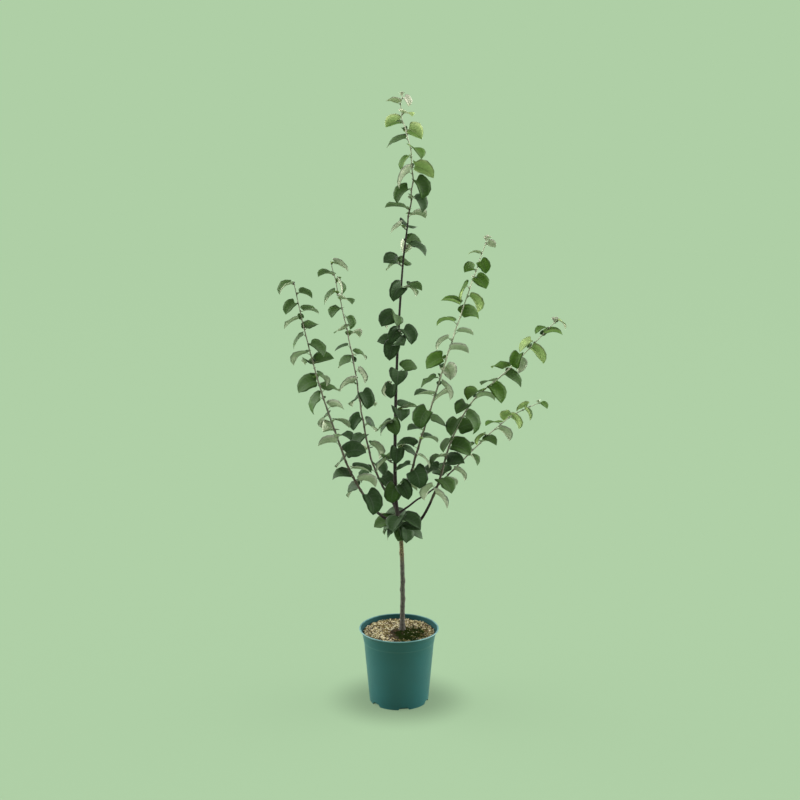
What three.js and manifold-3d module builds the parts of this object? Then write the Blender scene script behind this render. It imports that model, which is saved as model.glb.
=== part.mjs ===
// A young quince tree in a nursery pot, as it is sold: a straight stem with a leader and five slim boughs,
// each of them carrying one long leafy shoot, and short leafy spurs all along the leader.
// Millimetres, +Z up. The origin is the middle of the pot's flat underside, and the front faces -Y.

import * as THREE from "three";
import { mergeVertices } from "three/addons/utils/BufferGeometryUtils.js";
import Module from "manifold-3d";

const wasm = await Module();
wasm.setup();

// Driving dimensions
const TREE_TOP = 1500;
const GAP = 0.3;

const POT = {
  height: 190,
  lipRadius: 99.5,
  lipHeight: 3.2,
  collarRadius: 95.5,
  collarFoot: 158,
  shoulderRadius: 88.5,
  baseRadius: 73.9,
  wall: 2,
  floor: 3.5,
  rimWidth: 4,
  rimRound: 0.8,
  footRound: 1.2,
  segments: 36,
};
// The collar's wall bends halfway up, where it has made this share of its whole widening
const COLLAR_BEND = 0.38;
const NOTCH = {
  count: 6,
  firstAngle: -80.5,
  footWidth: 29,
  topWidth: 18,
  height: 7.5,
  depth: 9,
  cutterLength: 19,
  cutterBelow: 1,
};
const SOIL = {
  depthBelowRim: 11,
  seatRadius: 23,
  swell: 2.2,
  crownShare: 0.45,
  slopeShare: 0.75,
  edgeDrop: 1.5,
  overNotch: 2,
};
const SOIL_TOP = POT.height - SOIL.depthBelowRim;

// The stem's middle line, bottom to top, as [x, y, z]; its foot stands on the soil
const STEM_LINE = [
  [8, 8, SOIL_TOP + GAP],
  [9, 6, 300],
  [5, 4, 420],
  [-8, 4, 530],
  [-9, 4, 710],
  [-3, 4, 905],
  [9, 3, 1097],
  [21, 2, 1200],
];
const STEM_TOP = STEM_LINE.at(-1)[2];
const STEM = {
  footRadius: 6,
  forkRadius: 4.9,
  forkHeight: 440,
  topRadius: 1.9,
  flare: 3.4,
  flareHeight: 14,
  rings: 42,
  sides: 9,
};
const KNOTS = [
  { height: 262, facing: 10, swell: 1.6 },
  { height: 289, facing: 185, swell: 1.3 },
  { height: 312, facing: 0, swell: 1.5 },
  { height: 356, facing: 100, swell: 1.2 },
  { height: 385, facing: 200, swell: 1.4 },
];
const KNOT_REACH = 7;

// Each limb rises in one upright plane through the plant's axis. Its heading is seen from above, 0 along +X
// and 90 along +Y; its route lists [distance from the axis, height]; bare is the length before its leaves,
// and tipLeaf the size of its last leaf as a share of leafLength
const AXIS = { x: 0, y: 4 };
const LIMBS = [
  {
    name: "left_outer",
    heading: 200,
    route: [[2, 455], [64, 503], [122, 598], [158, 694], [200, 822], [237, 966], [259, 1070]],
    radius: 3.9,
    bare: 112,
    leaves: 28,
    leafLength: 50,
    tipLeaf: 0.8,
    seed: 2340,
  },
  {
    name: "left_inner",
    heading: 132,
    route: [[3, 489], [55, 538], [104, 605], [139, 715], [166, 830], [210, 966], [254, 1082]],
    radius: 3.3,
    bare: 84,
    leaves: 25,
    leafLength: 48,
    tipLeaf: 0.8,
    seed: 124,
  },
  {
    name: "right_inner",
    heading: -42,
    route: [[-6, 522], [28, 569], [68, 680], [112, 794], [160, 922], [212, 1052], [267, 1184]],
    radius: 3.4,
    bare: 78,
    leaves: 27,
    leafLength: 50,
    tipLeaf: 0.36,
    seed: 14,
  },
  {
    name: "right_outer",
    heading: -12,
    route: [[0, 444], [52, 470], [96, 563], [129, 677], [180, 777], [266, 859], [377, 981]],
    radius: 3.9,
    bare: 118,
    leaves: 25,
    leafLength: 52,
    tipLeaf: 0.55,
    seed: 1233,
  },
  {
    name: "right_low",
    heading: 24,
    route: [[-4, 484], [48, 514], [100, 541], [165, 595], [236, 653], [310, 703], [393, 730]],
    radius: 2.6,
    bare: 124,
    leaves: 15,
    leafLength: 44,
    tipLeaf: 0.6,
    seed: 1344,
  },
];
const LIMB = {
  rings: 24,
  boughRings: 6,
  boughSides: 7,
  shootSides: 4,
  tipRadius: 0.9,
  taperPower: 0.8,
  kink: 1.3,
  leafSpread: 62,
  lastLeaf: 0.88,
};
const LEADER = {
  name: "leader",
  route: [
    [21, 2, STEM_TOP + GAP],
    [29, 1, 1262],
    [32, 0, 1314],
    [24, 0, 1385],
    [10, 1, 1432],
    [5, 1, 1466],
    [7, 1, TREE_TOP - 1],
  ],
  leaves: 15,
  leafLength: 52,
  tipLeaf: 0.36,
  seed: 533,
};
// Leaves stand at this share of their joint's length, from the first to the last that can be drawn
const JOINT = [0.3, 0.8];
// Past this share of a shoot its leaves are young, and change evenly to the shoot's tipLeaf size at its end
const YOUNG_FROM = 0.82;

// Short spurs: a ring of strong ones just below the fork, and slighter ones that alternate up the stem. Fan
// is the angle between a spur's outer leaves, and hang how many degrees lower than others its blades point
const FORK_SPURS = {
  lowest: 432,
  highest: 474,
  turn: 160,
  sway: 30,
  leaves: 4,
  leafLength: 54,
  fan: 150,
  hang: 36,
  seeds: [160, 224, 546, 602, 2, 321],
};
const STEM_SPURS = {
  lowest: 560,
  highest: 1180,
  turn: 180,
  sway: 55,
  leaves: 3,
  leafLength: 49,
  fan: 120,
  hang: 0,
  seeds: [144, 44, 268, 413, 290, 247, 309, 65, 70, 128, 24, 440, 338, 121],
};
const SPUR = {
  length: 9,
  rise: 5,
  radius: 1.4,
  taper: 0.75,
  sides: 3,
  firstLeafAt: 0.45,
  lastLeafAt: 0.96,
  leafSpread: 24,
  lastLeaf: 0.78,
};

// One leaf, in shares of its length: a broad heart on a short stalk, folded up along its rib and arched
const LEAF = {
  halfWidth: 0.46,
  lobe: 0.08,
  bluntness: 0.7,
  sharpness: 1.3,
  rows: [36, 84, 130],
  thickness: 0.02,
  leastThickness: 0.8,
  stalkRadius: 0.8,
  stalkSunk: 0.06,
  bladeFrom: 7.2,
  middle: 0.4,
};

// How leaves differ from one to the next, drawn evenly between [one end, the other]: size as a share, angles
// in degrees, and the stalk's reach
const VARIED = {
  size: [0.82, 1.14],
  rise: [34, -38],
  arch: [28, 92],
  fold: [10, 38],
  roll: [-46, 46],
  stalkRise: [15.2, 49.4],
  stalkReach: [7.2, 12.15],
};
const TRIES = 7;

const radians = (degrees) => (degrees * Math.PI) / 180;
const mix = (a, b, share) => a + (b - a) * share;

// A small repeatable source of draws between 0 and 1
function draws(seed) {
  let state = (seed * 48271 + 11) % 2147483647;
  const next = () => {
    state = (state * 16807) % 2147483647;
    return state / 2147483647;
  };
  next();
  next();
  return next;
}

function merged(geometry) {
  const bare = geometry.clone();
  bare.deleteAttribute("normal");
  bare.deleteAttribute("uv");
  return mergeVertices(bare, 1e-4);
}

function solid(geometry) {
  const closed = merged(geometry);
  const vertProperties = new Float32Array(closed.attributes.position.array);
  const triVerts = new Uint32Array(closed.index.array);
  return new wasm.Manifold(new wasm.Mesh({ numProp: 3, vertProperties, triVerts }));
}

function geometryOf(manifold) {
  const mesh = manifold.getMesh();
  const geometry = new THREE.BufferGeometry();
  geometry.setAttribute("position", new THREE.BufferAttribute(new Float32Array(mesh.vertProperties), 3));
  geometry.setIndex(new THREE.BufferAttribute(new Uint32Array(mesh.triVerts), 1));
  geometry.computeVertexNormals();
  return geometry;
}

const group = new THREE.Group();

function place(name, manifold, material) {
  const mesh = new THREE.Mesh(geometryOf(manifold), material);
  mesh.name = name;
  group.add(mesh);
}

const finish = (color, roughness) => new THREE.MeshStandardMaterial({ color, roughness, metalness: 0 });

// Limbs: a lathe-turned tapering rod whose length is laid along a line of points
function lineThrough(points, count) {
  const curve = new THREE.CatmullRomCurve3(points, false, "catmullrom", 0.5);
  return Array.from({ length: count + 1 }, (_, i) => curve.getPoint(i / count));
}

function lengthsOf(line) {
  const lengths = [0];
  for (let i = 1; i < line.length; i += 1) {
    lengths.push(lengths[i - 1] + line[i].distanceTo(line[i - 1]));
  }
  return lengths;
}

function pointAt(line, lengths, distance) {
  let i = 1;
  while (i < line.length - 1 && lengths[i] < distance) {
    i += 1;
  }
  const share = (distance - lengths[i - 1]) / (lengths[i] - lengths[i - 1]);
  return line[i - 1].clone().lerp(line[i], share);
}

function stretch(line, from, to, rings) {
  const lengths = lengthsOf(line);
  return Array.from({ length: rings + 1 }, (_, i) => pointAt(line, lengths, mix(from, to, i / rings)));
}

const RIGHT = new THREE.Vector3(1, 0, 0);
const UP = new THREE.Vector3(0, 0, 1);

// Where a rod goes on from another, or another from it, before and after are the other's nearest points, so
// that their ends lie face to face. Its facets start as near as they can to one direction, across the rod
function rod(line, radiusAt, sides, { before = line[0], after = line.at(-1), across = RIGHT } = {}) {
  const profile = [new THREE.Vector2(0, 0)];
  line.forEach((_, i) => profile.push(new THREE.Vector2(1, i)));
  profile.push(new THREE.Vector2(0, line.length - 1));
  const geometry = new THREE.LatheGeometry(profile, sides);
  const corners = geometry.attributes.position;
  const spot = new THREE.Vector3();
  for (let v = 0; v < corners.count; v += 1) {
    spot.fromBufferAttribute(corners, v);
    const i = Math.round(spot.y);
    const along = (line[i + 1] ?? after).clone().sub(line[i - 1] ?? before).normalize();
    const side = across.clone().addScaledVector(along, -along.dot(across)).normalize();
    const back = new THREE.Vector3().crossVectors(along, side);
    const angle = Math.atan2(spot.z, spot.x);
    const radius = Math.hypot(spot.x, spot.z) > 0.5 ? radiusAt(i / (line.length - 1), angle, line[i]) : 0;
    const at = line[i].clone();
    at.addScaledVector(side, radius * Math.cos(angle));
    at.addScaledVector(back, -radius * Math.sin(angle));
    corners.setXYZ(v, at.x, at.y, at.z);
  }
  return geometry;
}

// Touch test between two faceted shapes: does an edge of either one pass through a face of the other
function facets(geometry) {
  const flat = geometry.attributes.position.array;
  const index = geometry.index.array;
  const corner = (k) => new THREE.Vector3(flat[3 * k], flat[3 * k + 1], flat[3 * k + 2]);
  const faces = [];
  for (let f = 0; f < index.length; f += 3) {
    faces.push([corner(index[f]), corner(index[f + 1]), corner(index[f + 2])]);
  }
  return faces;
}

const ray = new THREE.Ray();
const hit = new THREE.Vector3();

function pierces(edgesOf, faces) {
  for (const [a, b, c] of edgesOf) {
    for (const [from, to] of [[a, b], [b, c], [c, a]]) {
      const reach = from.distanceTo(to);
      ray.origin.copy(from);
      ray.direction.copy(to).sub(from).divideScalar(reach);
      for (const face of faces) {
        if (ray.intersectTriangle(face[0], face[1], face[2], false, hit) && hit.distanceTo(from) < reach) {
          return true;
        }
      }
    }
  }
  return false;
}

function touches(facesA, facesB) {
  return pierces(facesA, facesB) || pierces(facesB, facesA);
}

const NEARBY = 75;

function nearTo(faces, centre) {
  return faces.filter((face) => face[0].distanceTo(centre) < NEARBY);
}

// Leaves: a sphere of four sides pressed flat, its rings laid along stalk and blade
function bladeFrame(leaf, along) {
  const angle = leaf.rise - leaf.arch * along;
  const level = new THREE.Vector3(Math.cos(leaf.heading), Math.sin(leaf.heading), 0);
  const left = new THREE.Vector3(-level.y, level.x, 0);
  const up = level.clone().multiplyScalar(-Math.sin(angle));
  up.z = Math.cos(angle);
  const side = left.clone().multiplyScalar(Math.cos(leaf.roll)).addScaledVector(up, Math.sin(leaf.roll));
  const out = up.multiplyScalar(Math.cos(leaf.roll)).addScaledVector(left, -Math.sin(leaf.roll));
  const ahead = level.clone().multiplyScalar(Math.cos(angle));
  ahead.z = Math.sin(angle);
  return { angle, level, ahead, side, out };
}

function bladePoint(leaf, along, across, lift) {
  const { angle, level, side, out } = bladeFrame(leaf, along);
  const reach = (leaf.length * (Math.sin(leaf.rise) - Math.sin(angle))) / leaf.arch;
  const climb = (leaf.length * (Math.cos(angle) - Math.cos(leaf.rise))) / leaf.arch;
  const point = leaf.base.clone().addScaledVector(level, reach);
  point.z += climb;
  point.addScaledVector(side, across * Math.cos(leaf.fold));
  return point.addScaledVector(out, Math.abs(across) * Math.sin(leaf.fold) + lift);
}

// A ring's directions where it faces along a line and its sides lie as near as they can to the wanted one
function ringFrame(facing, wanted) {
  const across = wanted.clone().addScaledVector(facing, -wanted.dot(facing)).normalize();
  return { across, above: new THREE.Vector3().crossVectors(facing, across) };
}

// The margin of a leaf at a turn of 0 at its base to 180 at its tip, as [along, half width, the rib's share]
function margin(turn) {
  const angle = radians(turn);
  const passed = (1 - Math.cos(angle)) / 2;
  const along = passed - LEAF.lobe * Math.sin(angle) * (1 + Math.cos(angle));
  const power = LEAF.bluntness + LEAF.sharpness * passed * passed;
  return [along, LEAF.halfWidth * Math.sin(angle) ** power, passed];
}

// A sphere's quads are all split the same way round. Here every other one is turned to its other diagonal,
// so that the blade's two faces are split alike and never pass through one another
const SIDES = 4;
const CORNERS_A_QUAD = 6;

function evenDiagonals(geometry, bands) {
  const index = geometry.index.array;
  for (let band = 1; band < bands - 1; band += 1) {
    for (let side = 1; side < SIDES; side += 2) {
      const at = CORNERS_A_QUAD * ((band - 0.5) * SIDES + side);
      const [a, b, d, , c] = index.slice(at, at + CORNERS_A_QUAD);
      index.set([a, b, c, a, c, d], at);
    }
  }
}

function leafGeometry(leaf) {
  const rings = LEAF.rows.length + 3;
  const geometry = new THREE.SphereGeometry(1, SIDES, rings);
  evenDiagonals(geometry, rings);
  const corners = geometry.attributes.position;
  const stalk = leaf.base.clone().sub(leaf.root);
  const stalkWay = stalk.clone().normalize();
  const blade = bladeFrame(leaf, 0);
  const level = new THREE.Vector3(-stalk.y, stalk.x, 0).normalize();
  const foot = { at: leaf.root, ...ringFrame(stalkWay, level) };
  const neckWay = stalkWay.clone().add(blade.ahead).normalize();
  const neck = { at: leaf.base, ...ringFrame(neckWay, level.clone().add(blade.side)) };
  const half = Math.max(LEAF.thickness * leaf.length, LEAF.leastThickness) / 2;
  for (let v = 0; v < corners.count; v += 1) {
    const ring = Math.floor(v / (SIDES + 1));
    const corner = (v % (SIDES + 1)) % SIDES;
    let at;
    if (ring === 0) {
      at = leaf.root.clone().addScaledVector(stalk, -LEAF.stalkSunk);
    } else if (ring <= 2) {
      const end = ring === 1 ? foot : neck;
      at = end.at.clone().addScaledVector(end.across, [1, 0, -1, 0][corner] * LEAF.stalkRadius);
      at.addScaledVector(end.above, [0, -1, 0, 1][corner] * LEAF.stalkRadius);
    } else if (ring === rings) {
      at = bladePoint(leaf, 1, 0, 0);
    } else {
      const [along, width, ribAlong] = margin(LEAF.rows[ring - 3]);
      if (corner % 2 === 0) {
        at = bladePoint(leaf, along, (corner === 0 ? 1 : -1) * width * leaf.length, 0);
      } else {
        at = bladePoint(leaf, ribAlong, 0, corner === 1 ? -half : half);
      }
    }
    corners.setXYZ(v, at.x, at.y, at.z);
  }
  return geometry;
}

// The part of a leaf past its stalk
function bladeFaces(leaf, faces) {
  return faces.filter((face) => face.every((corner) => corner.distanceTo(leaf.root) > LEAF.bladeFrom));
}

// One try at a leaf on a stem: where it points, how it hangs and how large it is all come from the draws
function tryLeaf(next, root, heading, length, { spread, hang = 0 }) {
  const draw = ([from, to]) => mix(from, to, next());
  const turned = heading + draw([-spread, spread]);
  const leaf = { root, heading: radians(turned), length: length * draw(VARIED.size) };
  leaf.rise = radians(draw(VARIED.rise) - hang);
  leaf.arch = radians(draw(VARIED.arch));
  leaf.fold = radians(draw(VARIED.fold));
  leaf.roll = radians(draw(VARIED.roll));
  const rise = radians(draw(VARIED.stalkRise));
  const reach = draw(VARIED.stalkReach);
  const flat = Math.cos(rise) * reach;
  leaf.base = root.clone();
  leaf.base.x += flat * Math.cos(leaf.heading);
  leaf.base.y += flat * Math.sin(leaf.heading);
  leaf.base.z += Math.sin(rise) * reach;
  return leaf;
}

const limbFaces = [];
const placedLeaves = [];

// A leaf is tried a few times and skipped if it still touches a limb or another leaf
function growLeaf(next, mass, root, heading, length, habit) {
  for (let attempt = 0; attempt < TRIES; attempt += 1) {
    const leaf = tryLeaf(next, root, heading, length, habit);
    const geometry = leafGeometry(leaf);
    const faces = facets(geometry);
    const blade = bladeFaces(leaf, faces);
    const centre = bladePoint(leaf, LEAF.middle, 0, 0);
    const crossesLimb = limbFaces.some((limb) => touches(blade, nearTo(limb, centre)));
    const crossesLeaf = placedLeaves.some((other) => {
      if (other.centre.distanceTo(centre) > NEARBY) {
        return false;
      }
      const mine = other.mass === mass ? blade : faces;
      return touches(mine, other.blade) || touches(blade, other.faces);
    });
    if (!crossesLimb && !crossesLeaf) {
      placedLeaves.push({ mass, centre, faces, blade });
      return solid(geometry);
    }
  }
  return null;
}

function fuse(stem, leaves) {
  return leaves.filter((leaf) => leaf !== null).reduce((whole, leaf) => whole.add(leaf), stem);
}

// Pot: one wall turned round the axis, with drain notches cut through its foot
const COLLAR_STEP = 1;
const collarRadius = mix(POT.shoulderRadius, POT.collarRadius, COLLAR_BEND);
const collarMiddle = mix(POT.collarFoot, POT.height, 0.5);

function potGeometry() {
  const innerRim = POT.lipRadius - POT.rimWidth;
  const lipFoot = POT.height - POT.lipHeight;
  const outline = [
    [0, 0],
    [POT.baseRadius - POT.footRound, 0],
    [POT.baseRadius, POT.footRound],
    [POT.shoulderRadius - COLLAR_STEP, POT.collarFoot - 2 * COLLAR_STEP],
    [POT.shoulderRadius, POT.collarFoot],
    [collarRadius, collarMiddle],
    [POT.collarRadius, lipFoot - COLLAR_STEP],
    [POT.lipRadius - POT.rimRound, lipFoot],
    [POT.lipRadius, POT.height - POT.lipHeight / 2],
    [POT.lipRadius - POT.rimRound, POT.height],
    [innerRim, POT.height],
    [innerRim - 2 * POT.rimRound, lipFoot],
    [collarRadius - POT.wall, collarMiddle],
    [POT.shoulderRadius - POT.wall, POT.collarFoot],
    [POT.baseRadius - POT.wall, POT.floor],
    [0, POT.floor],
  ];
  const profile = outline.map(([radius, height]) => new THREE.Vector2(radius, height));
  return new THREE.LatheGeometry(profile, POT.segments).rotateX(Math.PI / 2);
}

function notchCutter(angle) {
  const outline = new THREE.Shape();
  outline.moveTo(-NOTCH.footWidth / 2, -NOTCH.cutterBelow);
  outline.lineTo(NOTCH.footWidth / 2, -NOTCH.cutterBelow);
  outline.lineTo(NOTCH.topWidth / 2, NOTCH.height);
  outline.lineTo(-NOTCH.topWidth / 2, NOTCH.height);
  const cutter = new THREE.ExtrudeGeometry(outline, { depth: NOTCH.cutterLength, bevelEnabled: false });
  cutter.rotateX(Math.PI / 2);
  cutter.translate(0, -(POT.baseRadius - NOTCH.depth), 0);
  return cutter.rotateZ(radians(angle + 90));
}

function makePot() {
  let pot = solid(potGeometry());
  for (let i = 0; i < NOTCH.count; i += 1) {
    pot = pot.subtract(solid(notchCutter(NOTCH.firstAngle + (i * 360) / NOTCH.count)));
  }
  return pot;
}

// Soil: fills the pot, a little swollen between the stem's seat and the wall
function makeSoil() {
  const inset = POT.wall + GAP;
  const side = (height) => {
    const share = (height - POT.floor) / (POT.collarFoot - POT.floor);
    return mix(POT.baseRadius, POT.shoulderRadius, share) - inset;
  };
  const edge = collarRadius - inset;
  const shoulderHeight = NOTCH.height + SOIL.overNotch;
  const outline = [
    [0, POT.floor + GAP],
    [side(POT.floor) - NOTCH.depth, POT.floor + GAP],
    [side(shoulderHeight), shoulderHeight],
    [POT.shoulderRadius - inset, POT.collarFoot],
    [edge, collarMiddle],
    [edge, SOIL_TOP - SOIL.edgeDrop],
    [edge * SOIL.slopeShare, SOIL_TOP + SOIL.swell / 2],
    [edge * SOIL.crownShare, SOIL_TOP + SOIL.swell],
    [SOIL.seatRadius, SOIL_TOP],
    [0, SOIL_TOP],
  ];
  const profile = outline.map(([radius, height]) => new THREE.Vector2(radius, height));
  return solid(new THREE.LatheGeometry(profile, POT.segments).rotateX(Math.PI / 2));
}

const stemLine = lineThrough(STEM_LINE.map(([x, y, z]) => new THREE.Vector3(x, y, z)), STEM.rings);

function stemRadius(share, angle, point) {
  let radius = point.z < STEM.forkHeight
    ? mix(STEM.footRadius, STEM.forkRadius, (point.z - SOIL_TOP) / (STEM.forkHeight - SOIL_TOP))
    : mix(STEM.forkRadius, STEM.topRadius, (point.z - STEM.forkHeight) / (STEM_TOP - STEM.forkHeight));
  radius += STEM.flare * Math.exp((SOIL_TOP - point.z) / STEM.flareHeight);
  for (const knot of KNOTS) {
    const near = Math.exp(-(((point.z - knot.height) / KNOT_REACH) ** 2));
    radius += knot.swell * near * Math.max(0, Math.cos(angle + radians(knot.facing)));
  }
  return radius;
}

function limbLine(limb) {
  const heading = radians(limb.heading);
  const points = limb.route.map(([reach, height]) => new THREE.Vector3(
    AXIS.x + reach * Math.cos(heading),
    AXIS.y + reach * Math.sin(heading),
    height,
  ));
  return kinked(lineThrough(points, 2 * limb.leaves), heading);
}

// Shoots step a little to and fro at their leaf joints
function kinked(line, heading) {
  return line.map((point, i) => {
    const sway = i === 0 || i === line.length - 1 ? 0 : LIMB.kink * [0, 1, 0, -1][i % 4];
    return point.clone().add(new THREE.Vector3(-Math.sin(heading) * sway, Math.cos(heading) * sway, 0));
  });
}

const WOOD = finish(0x5b5147, 0.85);
const YOUNG_WOOD = finish(0x6f6a58, 0.8);
const TEAL = finish(0x2d5d55, 0.45);
const MULCH = finish(0xa39a6c, 0.95);
const FOLIAGE = finish(0x3e5f35, 0.6);

place("pot", makePot(), TEAL);
place("soil", makeSoil(), MULCH);
const stemGeometry = rod(stemLine, stemRadius, STEM.sides);
const stemCut = solid(rod(stemLine, (share, angle, at) => stemRadius(share, angle, at) + GAP, STEM.sides));
place("trunk", solid(stemGeometry), WOOD);
limbFaces.push(facets(stemGeometry));

// Limb by limb: the bare bough, cut clear of the stem, and the line of the shoot that goes on from its tip
const shoots = LIMBS.map((limb) => {
  const line = limbLine(limb);
  const whole = lengthsOf(line).at(-1);
  const radiusAt = (distance) => mix(limb.radius, LIMB.tipRadius, (distance / whole) ** LIMB.taperPower);
  const boughLine = stretch(line, 0, limb.bare, LIMB.boughRings);
  const shootLine = stretch(line, limb.bare + GAP, whole, LIMB.rings);
  const boughRadius = (share) => radiusAt(share * limb.bare);
  const shootRadius = (share) => radiusAt(mix(limb.bare, whole, share));
  const bough = rod(boughLine, boughRadius, LIMB.boughSides, { after: shootLine[1] });
  const stem = rod(shootLine, shootRadius, LIMB.shootSides, { before: boughLine.at(-2) });
  place(`bough_${limb.name}`, solid(bough).subtract(stemCut), WOOD);
  limbFaces.push(facets(bough), facets(stem));
  return { ...limb, line: shootLine, stem };
});

const leaderPoints = LEADER.route.map(([x, y, z]) => new THREE.Vector3(x, y, z));
const leaderLine = kinked(lineThrough(leaderPoints, LIMB.rings), Math.PI / 2);
const leaderStem = rod(leaderLine, (share) => mix(STEM.topRadius, LIMB.tipRadius, share), LIMB.shootSides);
limbFaces.push(facets(leaderStem));
shoots.push({ ...LEADER, line: leaderLine, stem: leaderStem });

// Spurs leave the stem level, 0.3 mm clear of it, and turn up a little
function spurLine(height, heading) {
  const middle = stemLine.reduce((best, point) => (
    Math.abs(point.z - height) < Math.abs(best.z - height) ? point : best
  ));
  const from = stemRadius(0, 0, middle) + GAP;
  const away = new THREE.Vector3(Math.cos(heading), Math.sin(heading), 0);
  return [0, 0.5, 1].map((part) => {
    const point = middle.clone().addScaledVector(away, from + SPUR.length * part);
    point.z += SPUR.rise * part * part;
    return point;
  });
}

function makeSpurs(kind, plan) {
  return plan.seeds.map((seed, i) => {
    const next = draws(seed);
    const heading = i * plan.turn + plan.sway * (2 * next() - 1);
    const height = mix(plan.lowest, plan.highest, i / (plan.seeds.length - 1));
    const line = spurLine(height, radians(heading));
    const ends = { before: line[0].clone().setZ(line[1].z), across: UP };
    const stem = rod(line, (share) => SPUR.radius * mix(1, SPUR.taper, share), SPUR.sides, ends);
    limbFaces.push(facets(stem));
    return { name: `foliage_${kind}_${i + 1}`, plan, next, heading, line, stem };
  });
}

// A leafy spur: its leaves fan out from its end half, one after another
function growSpur({ name, plan, next, heading, line, stem }) {
  const lengths = lengthsOf(line);
  const leaves = [];
  for (let i = 0; i < plan.leaves; i += 1) {
    const share = mix(SPUR.firstLeafAt, SPUR.lastLeafAt, i / (plan.leaves - 1));
    const root = pointAt(line, lengths, lengths.at(-1) * share);
    const side = i % 2 === 0 ? 1 : -1;
    const fanned = heading + side * plan.fan * (i / (plan.leaves - 1) - 0.5);
    const length = plan.leafLength * mix(1, SPUR.lastLeaf, share);
    leaves.push(growLeaf(next, name, root, fanned, length, { spread: SPUR.leafSpread, hang: plan.hang }));
  }
  place(name, fuse(solid(stem), leaves), FOLIAGE);
}

// A leafy shoot: two ranks of leaves, left and right of the front view, one at each joint
function growShoot(shoot) {
  const name = `foliage_${shoot.name}`;
  const next = draws(shoot.seed);
  const lengths = lengthsOf(shoot.line);
  const leaves = [];
  for (let i = 0; i < shoot.leaves; i += 1) {
    const share = (i + mix(JOINT[0], JOINT[1], next())) / shoot.leaves;
    const root = pointAt(shoot.line, lengths, lengths.at(-1) * share);
    const rank = i % 2 === 0 ? 0 : 180;
    const young = Math.max(0, share - YOUNG_FROM) / (1 - YOUNG_FROM);
    const length = shoot.leafLength * mix(mix(1, LIMB.lastLeaf, share), shoot.tipLeaf, young);
    leaves.push(growLeaf(next, name, root, rank, length, { spread: LIMB.leafSpread }));
  }
  place(name, fuse(solid(shoot.stem), leaves), FOLIAGE);
}

const spurs = [...makeSpurs("fork", FORK_SPURS), ...makeSpurs("spur", STEM_SPURS)];
shoots.forEach(growShoot);
spurs.forEach(growSpur);

export default group;
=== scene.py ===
import math
import random

import bpy
import numpy as np
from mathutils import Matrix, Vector, noise


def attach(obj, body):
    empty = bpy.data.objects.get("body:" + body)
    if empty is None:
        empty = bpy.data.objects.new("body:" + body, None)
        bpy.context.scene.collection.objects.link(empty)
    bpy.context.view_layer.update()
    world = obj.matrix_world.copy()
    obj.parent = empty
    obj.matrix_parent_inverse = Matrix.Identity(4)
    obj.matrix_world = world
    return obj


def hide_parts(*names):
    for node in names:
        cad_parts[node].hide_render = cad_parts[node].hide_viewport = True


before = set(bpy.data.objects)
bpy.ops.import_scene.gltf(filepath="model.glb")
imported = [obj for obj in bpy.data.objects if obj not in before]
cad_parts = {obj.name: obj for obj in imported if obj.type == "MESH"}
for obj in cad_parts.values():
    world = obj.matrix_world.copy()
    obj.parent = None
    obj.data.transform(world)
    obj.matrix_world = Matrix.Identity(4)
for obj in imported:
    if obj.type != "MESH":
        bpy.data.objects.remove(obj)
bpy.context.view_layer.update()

bl_info = {
    "name": "Potted Quince Tree",
    "version": (1, 0, 0),
    "blender": (4, 5, 0),
    "location": "3D View > Sidebar > Quince",
    "description": "Grows a young quince tree in its nursery pot, with a studio stage",
    "category": "Object",
}

BODY = "root"
MM = 0.001

# The plant's sizes, in millimetres as in the solids' source
TREE_TOP = 1500.0
GAP = 0.3
POT = {
    "height": 190.0,
    "lip_radius": 99.5,
    "lip_height": 3.2,
    "collar_radius": 95.5,
    "collar_foot": 158.0,
    "shoulder_radius": 88.5,
    "base_radius": 73.9,
    "wall": 2.0,
    "floor": 3.5,
    "rim_width": 4.0,
    "foot_round": 1.2,
}
COLLAR_BEND = 0.38
COLLAR_STEP = 1.0
NOTCH = {
    "count": 6,
    "first_angle": -80.5,
    "foot_width": 29.0,
    "top_width": 18.0,
    "height": 7.5,
    "depth": 9.0,
    "cutter_length": 19.0,
    "cutter_below": 1.0,
}
SOIL = {
    "depth_below_rim": 11.0,
    "seat_radius": 23.0,
    "swell": 2.2,
    "crown": 0.45,
    "slope": 0.75,
    "edge_drop": 1.5,
}
SOIL_TOP = POT["height"] - SOIL["depth_below_rim"]
STEM_LINE = (
    (8, 8, SOIL_TOP + GAP),
    (9, 6, 300),
    (5, 4, 420),
    (-8, 4, 530),
    (-9, 4, 710),
    (-3, 4, 905),
    (9, 3, 1097),
    (21, 2, 1200),
)
STEM_TOP = STEM_LINE[-1][2]
STEM = {"foot": 6.0, "fork": 4.9, "fork_height": 440.0, "top": 1.9, "flare": 3.4, "flare_height": 14.0}
STEM_RINGS = 42
STEM_SIDES = 9
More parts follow.
